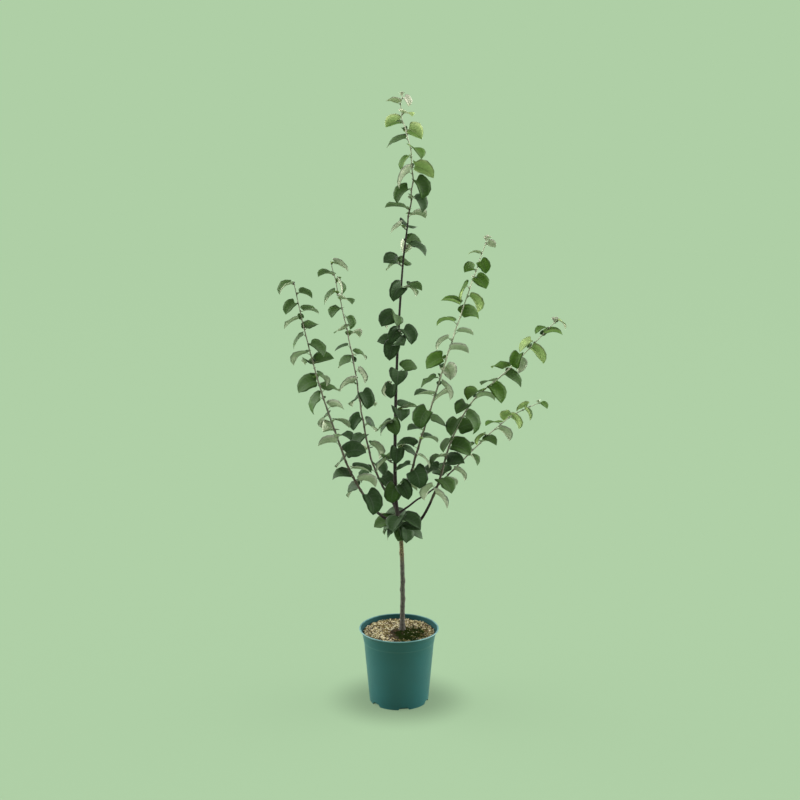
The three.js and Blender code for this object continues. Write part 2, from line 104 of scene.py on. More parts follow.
# Each knot's height, the way that it faces in degrees, and its swell
KNOTS = ((262, 10, 1.6), (289, 185, 1.3), (312, 0, 1.5), (356, 100, 1.2), (385, 200, 1.4))
KNOT_REACH = 7.0
AXIS = (0.0, 4.0)
LIMB_FIELDS = ("name", "heading", "radius", "bare", "leaves", "leaf_length", "tip_leaf", "seed", "route")
LIMBS = tuple(dict(zip(LIMB_FIELDS, row)) for row in (
    ("left_outer", 200, 3.9, 112, 28, 50, 0.8, 2340,
     ((2, 455), (64, 503), (122, 598), (158, 694), (200, 822), (237, 966), (259, 1070))),
    ("left_inner", 132, 3.3, 84, 25, 48, 0.8, 124,
     ((3, 489), (55, 538), (104, 605), (139, 715), (166, 830), (210, 966), (254, 1082))),
    ("right_inner", -42, 3.4, 78, 27, 50, 0.36, 14,
     ((-6, 522), (28, 569), (68, 680), (112, 794), (160, 922), (212, 1052), (267, 1184))),
    ("right_outer", -12, 3.9, 118, 25, 52, 0.55, 1233,
     ((0, 444), (52, 470), (96, 563), (129, 677), (180, 777), (266, 859), (377, 981))),
    ("right_low", 24, 2.6, 124, 15, 44, 0.6, 1344,
     ((-4, 484), (48, 514), (100, 541), (165, 595), (236, 653), (310, 703), (393, 730))),
))
LIMB_RINGS = 24
BOUGH_RINGS = 6
BOUGH_SIDES = 7
SHOOT_SIDES = 4
TIP_RADIUS = 0.9
TAPER_POWER = 0.8
KINK = 1.3
LEADER = {
    "name": "leader",
    "route": (
        (21, 2, STEM_TOP + GAP),
        (29, 1, 1262),
        (32, 0, 1314),
        (24, 0, 1385),
        (10, 1, 1432),
        (5, 1, 1466),
        (7, 1, TREE_TOP - 1),
    ),
    "leaves": 15,
    "leaf_length": 52,
    "tip_leaf": 0.36,
    "seed": 533,
}
SHOOT_SPREAD = 62
LAST_SHOOT_LEAF = 0.88
YOUNG_FROM = 0.82
FORK_SPURS = {
    "kind": "fork",
    "lowest": 432,
    "highest": 474,
    "turn": 160,
    "sway": 30,
    "leaves": 4,
    "leaf_length": 54,
    "fan": 150,
    "hang": 36,
    "seeds": (160, 224, 546, 602, 2, 321),
}
STEM_SPURS = {
    "kind": "spur",
    "lowest": 560,
    "highest": 1180,
    "turn": 180,
    "sway": 55,
    "leaves": 3,
    "leaf_length": 49,
    "fan": 120,
    "hang": 0,
    "seeds": (144, 44, 268, 413, 290, 247, 309, 65, 70, 128, 24, 440, 338, 121),
}
SPUR = {"length": 9.0, "rise": 5.0, "radius": 1.4, "taper": 0.75, "first": 0.45, "last": 0.96}
SPUR_SIDES = 3
SPUR_SPREAD = 24
LAST_SPUR_LEAF = 0.78
LEAF = {
    "half_width": 0.46,
    "lobe": 0.08,
    "bluntness": 0.7,
    "sharpness": 1.3,
    "thickness": 0.02,
    "least": 0.8,
    "stalk_radius": 0.8,
    "sunk": 0.06,
    "blade_from": 7.2,
}
LEAF_ROWS = (36, 84, 130)
VARIED = ((0.82, 1.14), (34, -38), (28, 92), (10, 38), (-46, 46), (15.2, 49.4), (7.2, 12.15))
TRIES = 7
# A leaf stands at this share of its joint's length
JOINT = (0.3, 0.8)


def mix(a, b, share):
    return a + (b - a) * share


def unit(vector):
    return vector / np.linalg.norm(vector)


def hump(off, reach):
    """A smooth hump of height 1, by how far a place is off its middle."""
    return math.exp(-((off / reach) ** 2))


def single(points):
    """Points in single precision, as the source's meshes keep them."""
    return np.array(points).astype(np.float32).astype(float)


def span(faces):
    """The lowest and the highest corner of the box round some faces."""
    return faces.min(axis=(0, 1)), faces.max(axis=(0, 1))


def draws(seed):
    """The source's small repeatable source of draws between 0 and 1."""
    state = [(seed * 48271 + 11) % 2147483647]

    def draw():
        state[0] = state[0] * 16807 % 2147483647
        return state[0] / 2147483647

    draw()
    draw()
    return draw


def line_through(points, count):
    """A smooth line of count + 1 points through the given ones."""
    points = np.array(points, float)
    last = len(points) - 1
    before = np.vstack([2 * points[0] - points[1], points])
    after = np.vstack([points, 2 * points[-1] - points[-2]])
    line = []
    for k in range(count + 1):
        i = min(int(last * k / count), last - 1)
        t = last * k / count - i
        p0, p1, p2, p3 = before[i], points[i], points[i + 1], after[i + 2]
        slope1, slope2 = (p2 - p0) / 2, (p3 - p1) / 2
        square = -3 * p1 + 3 * p2 - 2 * slope1 - slope2
        cube = 2 * p1 - 2 * p2 + slope1 + slope2
        line.append(p1 + slope1 * t + square * t * t + cube * t * t * t)
    return np.array(line)


def lengths_of(line):
    steps = np.linalg.norm(np.diff(line, axis=0), axis=1)
    return np.concatenate([[0.0], np.cumsum(steps)])


def point_at(line, lengths, distance):
    i = 1
    while i < len(line) - 1 and lengths[i] < distance:
        i += 1
    share = (distance - lengths[i - 1]) / (lengths[i] - lengths[i - 1])
    return mix(line[i - 1], line[i], share)


def stretch(line, start, end, rings):
    lengths = lengths_of(line)
    return np.array([point_at(line, lengths, mix(start, end, i / rings)) for i in range(rings + 1)])


def kinked(line, heading):
    """Steps a shoot a little to and fro at its leaf joints."""
    made = line.copy()
    for i in range(1, len(line) - 1):
        sway = KINK * (0, 1, 0, -1)[i % 4]
        made[i] += (-math.sin(heading) * sway, math.cos(heading) * sway, 0)
    return made


def rod_rings(line, radius_at, sides, before=None, after=None, across=(1.0, 0.0, 0.0)):
    """The rings of a tapering rod along a line; radius_at takes the share, the angle and the point."""
    last = len(line) - 1
    rings = []
    past = [line[0] if before is None else before, *line, line[-1] if after is None else after]
    for i, at in enumerate(line):
        along = unit(past[i + 2] - past[i])
        side = unit(np.array(across) - along * (along @ np.array(across)))
        back = np.cross(along, side)
        ring = []
        for k in range(sides):
            angle = math.pi / 2 - 2 * math.pi * k / sides
            radius = radius_at(i / last, angle, at)
            ring.append(at + side * radius * math.cos(angle) - back * radius * math.sin(angle))
        rings.append(ring)
    return np.array(rings)


def rod_faces(line, radius_at, sides, before=None, after=None, across=(1.0, 0.0, 0.0)):
    rings = single(rod_rings(line, radius_at, sides, before, after, across))
    ends = single([line[0], line[-1]])
    faces = []
    for k in range(sides):
        n = (k + 1) % sides
        faces.append((ends[0], rings[0][n], rings[0][k]))
        faces.append((rings[-1][k], rings[-1][n], ends[1]))
        for j in range(len(rings) - 1):
            faces.append((rings[j][k], rings[j][n], rings[j + 1][k]))
            faces.append((rings[j + 1][n], rings[j + 1][k], rings[j][n]))
    return np.array(faces)


def stem_radius(_, angle, point):
    z = point[2]
    if z < STEM["fork_height"]:
        radius = mix(STEM["foot"], STEM["fork"], (z - SOIL_TOP) / (STEM["fork_height"] - SOIL_TOP))
    else:
        done = (z - STEM["fork_height"]) / (STEM_TOP - STEM["fork_height"])
        radius = mix(STEM["fork"], STEM["top"], done)
    radius += STEM["flare"] * math.exp((SOIL_TOP - z) / STEM["flare_height"])
    for height, facing, swell in KNOTS:
        radius += swell * hump(z - height, KNOT_REACH) * max(0.0, math.cos(angle + math.radians(facing)))
    return radius


def blade_frame(leaf, along):
    """A blade's directions at a share of its rib: level, ahead along it, to its side, and out of its face."""
    angle = leaf["rise"] - leaf["arch"] * along
    level = np.array([math.cos(leaf["heading"]), math.sin(leaf["heading"]), 0.0])
    left = np.array([-level[1], level[0], 0.0])
    up = -math.sin(angle) * level
    up[2] = math.cos(angle)
    side = left * math.cos(leaf["roll"]) + up * math.sin(leaf["roll"])
    out = up * math.cos(leaf["roll"]) - left * math.sin(leaf["roll"])
    ahead = math.cos(angle) * level
    ahead[2] = math.sin(angle)
    return angle, level, ahead, side, out


def blade_point(leaf, along, across, lift):
    """A point of a leaf's blade: along its arched rib, across it, and off its face."""
    angle, level, _, side, out = blade_frame(leaf, along)
    reach = leaf["length"] * (math.sin(leaf["rise"]) - math.sin(angle)) / leaf["arch"]
    climb = leaf["length"] * (math.cos(angle) - math.cos(leaf["rise"])) / leaf["arch"]
    point = leaf["base"] + level * reach
    point[2] += climb
    lift += abs(across) * math.sin(leaf["fold"])
    return point + side * across * math.cos(leaf["fold"]) + out * lift


def ring_frame(facing, wanted):
    across = unit(wanted - facing * (wanted @ facing))
    return across, np.cross(facing, across)


def margin(turn, form=LEAF):
    """The margin at a turn of 0 at a leaf's base to 180 at its tip: along, half width, and along the rib."""
    angle = math.radians(turn)
    passed = (1 - math.cos(angle)) / 2
    along = passed - form["lobe"] * math.sin(angle) * (1 + math.cos(angle))
    power = form["bluntness"] + form["sharpness"] * passed * passed
    return along, form["half_width"] * math.sin(angle) ** power, passed


def leaf_faces(leaf):
    """The source's leaf of 32 faces, which the touch tests use."""
    stalk = leaf["base"] - leaf["root"]
    _, _, ahead, side, _ = blade_frame(leaf, 0)
    level = unit(np.array([-stalk[1], stalk[0], 0.0]))
    foot = ring_frame(unit(stalk), level)
    neck = ring_frame(unit(unit(stalk) + ahead), level + side)
    half = max(LEAF["thickness"] * leaf["length"], LEAF["least"]) / 2
    rings = [[leaf["root"] - stalk * LEAF["sunk"]] * 4]
    for centre, (across, above) in ((leaf["root"], foot), (leaf["base"], neck)):
        rings.append([centre + (across * a + above * b) * LEAF["stalk_radius"]
                      for a, b in ((1, 0), (0, -1), (-1, 0), (0, 1))])
    for turn in LEAF_ROWS:
        along, width, passed = margin(turn)
        rings.append([
            blade_point(leaf, along, width * leaf["length"], 0),
            blade_point(leaf, passed, 0, -half),
            blade_point(leaf, along, -width * leaf["length"], 0),
            blade_point(leaf, passed, 0, half),
        ])
    rings.append([blade_point(leaf, 1, 0, 0)] * 4)
    grid = single(rings)
    faces = []
    for j in range(len(rings) - 1):
        for k in range(4):
            n = (k + 1) % 4
            a, b, c, d = grid[j][n], grid[j][k], grid[j + 1][k], grid[j + 1][n]
            if j == 0:
                faces.append((b, c, d))
            elif j == len(rings) - 2:
                faces.append((a, b, d))
            elif k % 2 == 0:
                faces.extend(((a, b, d), (b, c, d)))
            else:
                faces.extend(((a, b, c), (a, c, d)))
    return np.array(faces)


def meeting(faces, others):
    """The faces whose own boxes meet the box round the others."""
    low, high = span(others)
    return faces[np.all((faces.min(axis=1) <= high) & (faces.max(axis=1) >= low), axis=1)]


def pierces(edges_of, faces):
    """Does an edge of the first shape pass through a face of the second?"""
    faces = meeting(faces, edges_of)
    if not len(faces):
        return False
    edges_of = meeting(edges_of, faces)
    start = edges_of.reshape(-1, 3)
    reach_to = np.roll(edges_of, -1, axis=1).reshape(-1, 3)
    reach = np.linalg.norm(reach_to - start, axis=1)
    start, reach_to, reach = start[reach > 0], reach_to[reach > 0], reach[reach > 0]
    if not len(start):
        return False
    aim = (reach_to - start) / reach[:, None]
    edge1, edge2 = faces[:, 1] - faces[:, 0], faces[:, 2] - faces[:, 0]
    normal = np.cross(edge1, edge2)
    facing = aim @ normal.T
    sign = np.sign(facing)
    away = start[:, None, :] - faces[None, :, 0]
    u = sign * np.einsum("ek,efk->ef", aim, np.cross(away, edge2[None]))
    v = sign * np.einsum("ek,efk->ef", aim, np.cross(edge1[None], away))
    deep = -sign * np.einsum("efk,fk->ef", away, normal)
    inside = (sign != 0) & (u >= 0) & (v >= 0) & (u + v <= abs(facing)) & (deep >= 0)
    return bool(np.any(inside & (deep < reach[:, None] * abs(facing))))


def touches(faces_a, faces_b):
    return len(faces_b) > 0 and (pierces(faces_a, faces_b) or pierces(faces_b, faces_a))


def try_leaf(draw, root, heading, length, spread, hang):
    def between(ends):
        return mix(ends[0], ends[1], draw())

    turned = heading + between((-spread, spread))
    leaf = {"root": root, "heading": math.radians(turned), "length": length * between(VARIED[0])}
    for part, ends in zip(("rise", "arch", "fold", "roll"), VARIED[1:5]):
        leaf[part] = math.radians(between(ends) - (hang if part == "rise" else 0))
    rise = math.radians(between(VARIED[5]))
    reach = between(VARIED[6])
    flat = math.cos(rise) * reach
    leaf["base"] = root + (
        flat * math.cos(leaf["heading"]),
        flat * math.sin(leaf["heading"]),
        math.sin(rise) * reach,
    )
    return leaf


# So many of a limb's faces share one box in the touch tests
LIMB_PART = 200


class Crown:
    """What has grown so far: the limbs' faces, and the leaves with theirs."""

    def __init__(self):
        self.limbs = []
        self.leaves = []

    def near(self, low, high, kept):
        found = [item for item in kept if np.all(item[0] <= high) and np.all(item[1] >= low)]
        return np.concatenate([item[2] for item in found]) if found else np.zeros((0, 3, 3))

    def add_limb(self, faces):
        for k in range(0, len(faces), LIMB_PART):
            part = faces[k:k + LIMB_PART]
            self.limbs.append((*span(part), part))

    def grow_leaf(self, draw, mass, root, heading, length, spread, hang=0):
        """A leaf is tried a few times and skipped if it still touches a limb or another leaf."""
        for _ in range(TRIES):
            leaf = try_leaf(draw, root, heading, length, spread, hang)
            faces = leaf_faces(leaf)
            past = np.all(np.linalg.norm(faces - leaf["root"], axis=2) > LEAF["blade_from"], axis=1)
            blade = faces[past]
            low, high = span(faces)
            wholes = [kept[:3] for kept in self.leaves]
            others = [(a, b, cut) for a, b, _, cut, owner in self.leaves if owner != mass]
            tests = ((blade, self.limbs), (blade, wholes), (faces, others))
            if not any(touches(part, self.near(low, high, kept)) for part, kept in tests):
                self.leaves.append((low, high, faces, blade, mass))
                return leaf
        return None


def limb_line(limb):
    heading = math.radians(limb["heading"])
    points = [
        (AXIS[0] + reach * math.cos(heading), AXIS[1] + reach * math.sin(heading), height)
        for reach, height in limb["route"]
    ]
    return kinked(line_through(points, 2 * limb["leaves"]), heading)


def limb_radius(limb, whole):
    return lambda distance: mix(limb["radius"], TIP_RADIUS, (distance / whole) ** TAPER_POWER)


def spur_line(stem_line, height, heading):
    middle = stem_line[np.argmin(abs(stem_line[:, 2] - height))]
    start = stem_radius(0, 0, middle) + GAP
    away = np.array([math.cos(heading), math.sin(heading), 0.0])
    return np.array([
        middle + away * (start + SPUR["length"] * part) + (0, 0, SPUR["rise"] * part * part)
        for part in (0, 0.5, 1)
    ])


def spur_radius(share, *_):
    return SPUR["radius"] * mix(1, SPUR["taper"], share)


def grow_boughs(crown):
    """The bare boughs, each with the shoot that carries it on."""
    boughs, sprays = [], []
    for limb in LIMBS:
        line = limb_line(limb)
        whole = lengths_of(line)[-1]
        radius_at = limb_radius(limb, whole)
        bare = limb["bare"]
        bough = stretch(line, 0, bare, BOUGH_RINGS)
        shoot = stretch(line, bare + GAP, whole, LIMB_RINGS)
        faces = rod_faces(bough, lambda share, *_: radius_at(share * bare), BOUGH_SIDES, after=shoot[1])
        crown.add_limb(faces)
        faces = rod_faces(shoot, lambda share, *_: radius_at(mix(bare, whole, share)), SHOOT_SIDES, bough[-2])
        crown.add_limb(faces)
        boughs.append({"name": limb["name"], "line": line, "bare": bare, "radius_at": radius_at})
        sprays.append({"plan": limb, "line": shoot, "radii": (radius_at, bare, whole)})
    return boughs, sprays


def grow_spurs(crown, stem_line):
    """The stems of the spurs in the ring below the fork and up the stem."""
    spurs = []
    for plan in (FORK_SPURS, STEM_SPURS):
        last = len(plan["seeds"]) - 1
        for i, seed in enumerate(plan["seeds"]):
            draw = draws(seed)
            heading = i * plan["turn"] + plan["sway"] * (2 * draw() - 1)
            height = mix(plan["lowest"], plan["highest"], i / last)
            line = spur_line(stem_line, height, math.radians(heading))
            level = np.array([line[0][0], line[0][1], line[1][2]])
            crown.add_limb(rod_faces(line, spur_radius, SPUR_SIDES, level, across=(0.0, 0.0, 1.0)))
            name = f"{plan['kind']}_{i + 1}"
            spurs.append({"name": name, "plan": plan, "draw": draw, "heading": heading, "line": line})
    return spurs


def shoot_leaves(crown, spray):
    """A shoot's leaves in two ranks, one at each joint, smaller towards its young tip."""
    plan = spray["plan"]
    spray["name"] = plan["name"]
    draw = draws(plan["seed"])
    lengths = lengths_of(spray["line"])
    for i in range(plan["leaves"]):
        share = (i + mix(*JOINT, draw())) / plan["leaves"]
        root = point_at(spray["line"], lengths, lengths[-1] * share)
        young = max(0.0, share - YOUNG_FROM) / (1 - YOUNG_FROM)
        length = plan["leaf_length"] * mix(mix(1, LAST_SHOOT_LEAF, share), plan["tip_leaf"], young)
        leaf = crown.grow_leaf(draw, plan["name"], root, 180 * (i % 2), length, SHOOT_SPREAD)
        if leaf:
            yield {**leaf, "share": share, "young": young}


def spur_leaves(crown, spur):
    """A spur's leaves, fanned out from it."""
    plan = spur["plan"]
    lengths = lengths_of(spur["line"])
    for i in range(plan["leaves"]):
        done = i / (plan["leaves"] - 1)
        share = mix(SPUR["first"], SPUR["last"], done)
        root = point_at(spur["line"], lengths, lengths[-1] * share)
        fanned = spur["heading"] + (1, -1)[i % 2] * plan["fan"] * (done - 0.5)
        length = plan["leaf_length"] * mix(1, LAST_SPUR_LEAF, share)
        leaf = crown.grow_leaf(spur["draw"], spur["name"], root, fanned, length, SPUR_SPREAD, plan["hang"])
        if leaf:
            yield {**leaf, "share": 0.0, "young": 0.0}


def grow_plant():
    """Every limb, shoot and spur with its leaves, in the order of the source."""
    crown = Crown()
    stem_line = line_through(STEM_LINE, STEM_RINGS)
    crown.add_limb(rod_faces(stem_line, stem_radius, STEM_SIDES))
    boughs, sprays = grow_boughs(crown)
    leader = kinked(line_through(LEADER["route"], LIMB_RINGS), math.pi / 2)
    crown.add_limb(rod_faces(leader, lambda share, *_: mix(STEM["top"], TIP_RADIUS, share), SHOOT_SIDES))
    sprays.append({"plan": LEADER, "line": leader})
    spurs = grow_spurs(crown, stem_line)
    for spray in sprays:
        spray["leaves"] = list(shoot_leaves(crown, spray))
    for spur in spurs:
        spur["leaves"] = list(spur_leaves(crown, spur))
    return stem_line, boughs, sprays, spurs


def circle(radius, count):
    """Points on a circle round the axis."""
    return [(radius * math.cos(2 * math.pi * k / count), radius * math.sin(2 * math.pi * k / count))
            for k in range(count)]


def placed(name, data):
    """A new object of the scene with this data."""
    made = bpy.data.objects.new(name, data)
    bpy.context.scene.collection.objects.link(made)
    return made


def add_values(mesh, name, values, kind="FLOAT"):
    """Keeps a value for each point of a mesh, under a name that materials and node trees read."""
    layer = mesh.attributes.new(name, kind, "POINT")
    field = "value" if kind == "FLOAT" else "vector"
    layer.data.foreach_set(field, np.asarray(values, np.float32).ravel())


# Meshes are gathered as points in millimetres, faces, material numbers and a UV for each face corner
class Shape:
    """A mesh while it is made."""

    def __init__(self):
        self.points = []
        self.faces = []
        self.slots = []
        self.uvs = []
        self.ages = []
        self.count = 0

    def add(self, points, faces, slots=0, uvs=None, age=0.0):
        start = self.count
        self.points.append(np.asarray(points, float))
        self.count += len(points)
        self.faces.extend(tuple(i + start for i in face) for face in faces)
        self.slots.extend([slots] * len(faces) if isinstance(slots, int) else slots)
        for face_uvs in uvs or [((0.0, 0.0),) * len(face) for face in faces]:
            self.uvs.extend(face_uvs)
        self.ages.append(np.broadcast_to(np.asarray(age, float), (len(points),)))

    def make(self, name, materials, sharp=None):
        mesh = bpy.data.meshes.new(name)
        mesh.from_pydata((np.concatenate(self.points) * MM).tolist(), [], self.faces)
        for finish in materials:
            mesh.materials.append(finish)
        mesh.polygons.foreach_set("material_index", self.slots)
        layer = mesh.uv_layers.new(name="UVMap")
        layer.data.foreach_set("uv", np.array(self.uvs, np.float32).ravel())
        add_values(mesh, "age", np.concatenate(self.ages))
        mesh.shade_smooth()
        if sharp is not None:
            mesh.set_sharp_from_angle(angle=math.radians(sharp))
        mesh.update()
        return placed(name, mesh)


def tube(shape, line, radii, sides, nominal, slot=0, age=0.0):
    """A closed rod along a line. Radii hold one value for each ring, or one for each of its sides as well.
    The nominal radius gives its UV map's width."""
    line = np.asarray(line, float)
    rings = len(line)
    radii = np.asarray(radii, float)
    if radii.ndim == 1:
        radii = np.repeat(radii[:, None], sides, axis=1)
    past = np.vstack([line[:1], line, line[-1:]])
    along = past[2:] - past[:-2]
    along /= np.linalg.norm(along, axis=1)[:, None]
    side = np.array([1.0, 0.0, 0.0]) - along * along[:, :1]
    side /= np.linalg.norm(side, axis=1)[:, None]
    back = np.cross(along, side)
    angles = 2 * math.pi * np.arange(sides) / sides
    way = side[:, None] * np.cos(angles)[None, :, None] + back[:, None] * np.sin(angles)[None, :, None]
    points = (line[:, None] + way * radii[..., None]).reshape(-1, 3)
    points = np.vstack([points, line[:1], line[-1:]])
    length = lengths_of(line)
    girth = 2 * math.pi * nominal
    faces, uvs = [], []
    for j in range(rings - 1):
        low, high = j * sides, (j + 1) * sides
        for k in range(sides):
            n = (k + 1) % sides
            faces.append((low + k, low + n, high + n, high + k))
            left, right = girth * k / sides, girth * (k + 1) / sides
            uvs.append(((left, length[j]), (right, length[j]), (right, length[j + 1]), (left, length[j + 1])))
    foot, tip, last = rings * sides, rings * sides + 1, (rings - 1) * sides
    for k in range(sides):
        n = (k + 1) % sides
        faces += [(foot, n, k), (tip, last + k, last + n)]
        uvs += [((0, 0),) * 3, ((0, length[-1]),) * 3]
    if np.ndim(age):
        age = np.concatenate([np.repeat(age, sides), [age[0], age[-1]]])
    shape.add(points, faces, slot, uvs, age)


def fine_line(line, step):
    """The line's points again, closer together and on a smooth curve."""
    whole = lengths_of(line)[-1]
    return line_through(line, max(2, int(round(whole / step))))


# Node trees
class Graph:
    """Adds nodes to a tree and wires them."""

    def __init__(self, tree):
        self.tree = tree

    def node(self, kind, inputs=None, **settings):
        made = self.tree.nodes.new(kind)
        for name, value in settings.items():
            setattr(made, name, value)
        for key, value in (inputs or {}).items():
            if isinstance(value, bpy.types.NodeSocket):
                self.tree.links.new(value, made.inputs[key])
            else:
                made.inputs[key].default_value = value
        return made

    def first(self, kind, inputs=None, **settings):
        """Adds a node and gives its first output."""
        return self.node(kind, inputs, **settings).outputs[0]

    def link(self, value, socket):
        self.tree.links.new(value, socket)

    def math(self, operation, a, b=0.0):
        return self.first("ShaderNodeMath", {0: a, 1: b}, operation=operation)

    def times(self, a, b):
        return self.math("MULTIPLY", a, b)

    def plus(self, a, b):
        return self.math("ADD", a, b)

    def minus(self, a, b):
        return self.math("SUBTRACT", a, b)

    def fit(self, value, low, high, to_low=0.0, to_high=1.0):
        """Maps low..high to to_low..to_high smoothly, held at both ends."""
        inputs = {"Value": value, 1: low, 2: high, 3: to_low, 4: to_high}
        return self.first("ShaderNodeMapRange", inputs, interpolation_type="SMOOTHSTEP")

    def blend(self, share, a, b):
        """Mixes two colours."""
        return self.node("ShaderNodeMix", {0: share, 6: a, 7: b}, data_type="RGBA").outputs[2]

    def noise(self, place, scale, detail=3.0, roughness=0.55):
        inputs = {"Vector": place, "Scale": scale, "Detail": detail, "Roughness": roughness}
        return self.first("ShaderNodeTexNoise", inputs)


# The kind of socket that a default makes
SOCKETS = {float: "Float", int: "Int", tuple: "Vector"}


def new_group(name, kind, inputs, outputs):
    """A tree with named inputs, each given by its default or else by its kind, and named outputs."""
    tree = bpy.data.node_groups.new(name, kind)
    for label, value in inputs.items():
        plain = isinstance(value, str)
        socket = "NodeSocket" + (value if plain else SOCKETS[type(value)])
        made = tree.interface.new_socket(label, in_out="INPUT", socket_type=socket)
        if not plain:
            made.default_value = value
    socket = "NodeSocketFloat" if kind == "ShaderNodeTree" else "NodeSocketGeometry"
    for label in outputs:
        tree.interface.new_socket(label, in_out="OUTPUT", socket_type=socket)
    graph = Graph(tree)
    return graph, graph.node("NodeGroupInput").outputs, graph.node("NodeGroupOutput").inputs


def shared_group(name, build):
    return bpy.data.node_groups.get(name) or build(name)


def build_mottle(name):
    """Broad patches, fine grain and both together, as masks from 0 to 1."""
    inputs = {"Vector": "Vector", "Broad Scale": 20.0, "Fine Scale": 300.0}
    graph, given, out = new_group(name, "ShaderNodeTree", inputs, ("Broad", "Fine", "Both"))
    broad = graph.fit(graph.noise(given["Vector"], given["Broad Scale"], 2.0), 0.3, 0.7)
    fine = graph.fit(graph.noise(given["Vector"], given["Fine Scale"], 5.0), 0.25, 0.75)
    both = graph.times(graph.plus(broad, fine), 0.5)
    for label, value in (("Broad", broad), ("Fine", fine), ("Both", both)):
        graph.link(value, out[label])
    return graph.tree


# A leaf's veins, by shares of its half width and of the gap between two side veins
VEINS = {
    "pairs": 7.0,
    "rib": (0.02, 0.1),
    "climb": 0.34,
    "climb_power": 0.8,
    "thin": (0.12, 0.04),
    "soft_edge": (0.3, 1.0),
    "fade": (0.75, 1.0, 0.8, 0.0),
    "pillow": 0.6,
    "sunk": 0.5,
    "margin": (0.9, 0.985),
}


def build_veins(name):
    """A leaf's rib and side veins, its margin, and their height, from a UV map across and along it."""
    inputs = {"UV": "Vector", "Pairs": VEINS["pairs"]}
    graph, given, out = new_group(name, "ShaderNodeTree", inputs, ("Vein", "Margin", "Height"))
    split = graph.node("ShaderNodeSeparateXYZ", {0: given["UV"]}).outputs
    across = graph.math("ABSOLUTE", graph.minus(graph.times(split[0], 2.0), 1.0))
    rib = graph.fit(across, *VEINS["rib"], 1.0, 0.0)
    climb = graph.times(graph.math("POWER", across, VEINS["climb_power"]), VEINS["climb"])
    phase = graph.times(graph.minus(split[1], climb), given["Pairs"])
    near = graph.math("ABSOLUTE", graph.minus(graph.math("FRACT", phase), 0.5))
    thin = graph.fit(across, 0.0, 1.0, *VEINS["thin"])
    side = graph.fit(graph.math("DIVIDE", near, thin), *VEINS["soft_edge"], 1.0, 0.0)
    side = graph.times(side, graph.fit(across, *VEINS["fade"]))
    vein = graph.math("MAXIMUM", rib, side)
    pillow = graph.times(graph.math("SINE", graph.times(near, math.pi)), VEINS["pillow"])
    height = graph.minus(pillow, graph.times(vein, VEINS["sunk"]))
    edge = graph.fit(across, *VEINS["margin"])
    for label, value in (("Vein", vein), ("Margin", edge), ("Height", height)):
        graph.link(value, out[label])
    return graph.tree


def opaque(color, share=1.0):
    """A colour made darker or lighter by a share, with full alpha."""
    return [min(1.0, channel * share) for channel in color] + [1.0]


def new_material(name, roughness, specular=0.5):
    made = bpy.data.materials.new(name)
    made.use_nodes = True
    shader = made.node_tree.nodes["Principled BSDF"]
    shader.inputs["Roughness"].default_value = roughness
    shader.inputs["Specular IOR Level"].default_value = specular
    return made, Graph(made.node_tree), shader.inputs


def mottle_masks(graph, place, broad, fine):
    tree = shared_group("mottle", build_mottle)
    inputs = {"Vector": place, "Broad Scale": broad, "Fine Scale": fine}
    return graph.node("ShaderNodeGroup", inputs, node_tree=tree).outputs


def wire_surface(graph, shader, color, grain, rough, height, strength, distance):
    """Gives a shader its colour, a roughness between two values by the grain, and a relief."""
    graph.link(color, shader["Base Color"])
    graph.link(graph.fit(grain, 0.0, 1.0, *rough), shader["Roughness"])
    relief = graph.first("ShaderNodeBump", {"Height": height, "Strength": strength, "Distance": distance})
    graph.link(relief, shader["Normal"])


def mottled(name, light, dark, roughness, broad, fine, bump, spread=0.12, specular=0.5):
    """A matt, uneven finish: two colours in patches and grain, its roughness and relief from the grain."""
    made, graph, shader = new_material(name, roughness, specular)
    masks = mottle_masks(graph, graph.node("ShaderNodeTexCoord").outputs["Object"], broad, fine)
    color = graph.blend(masks["Both"], dark, light)
    rough = (roughness - spread, min(1.0, roughness + spread))
    wire_surface(graph, shader, color, masks["Fine"], rough, masks["Fine"], 0.6, bump)
    return made


# How all leaves' finishes vary: by patches and grain, towards the margin, and in roughness
LEAF_LOOK = {
    "specular": 0.11,
    "broad": 34.0,
    "fine": 420.0,
    "darkest": 0.7,
    "lightest": 1.25,
    "margin_by_patch": (0.2, 0.9, 0.2, 0.8),
    "smoother": 0.08,
    "rougher": 0.1,
    "relief_strength": 0.7,
}


def leaf_material(name, color, vein_color, edge_color, roughness, bump, veining):
    """A leaf's blade: veins and margin in their own colours, lighter and darker patches between."""
    made, graph, shader = new_material(name, roughness, LEAF_LOOK["specular"])
    where = graph.node("ShaderNodeTexCoord").outputs
    tree = shared_group("leaf_veins", build_veins)
    veins = graph.node("ShaderNodeGroup", {"UV": where["UV"]}, node_tree=tree).outputs
    masks = mottle_masks(graph, where["Object"], LEAF_LOOK["broad"], LEAF_LOOK["fine"])
    darker, lighter = opaque(color, LEAF_LOOK["darkest"]), opaque(color, LEAF_LOOK["lightest"])
    blade = graph.blend(masks["Both"], darker, lighter)
    blade = graph.blend(graph.times(veins["Vein"], veining), blade, opaque(vein_color))
    patchy = graph.fit(masks["Broad"], *LEAF_LOOK["margin_by_patch"])
    blade = graph.blend(graph.times(veins["Margin"], patchy), blade, opaque(edge_color))
    rough = (roughness - LEAF_LOOK["smoother"], roughness + LEAF_LOOK["rougher"])
    strength = LEAF_LOOK["relief_strength"]
    wire_surface(graph, shader, blade, masks["Fine"], rough, veins["Height"], strength, bump)
    return made


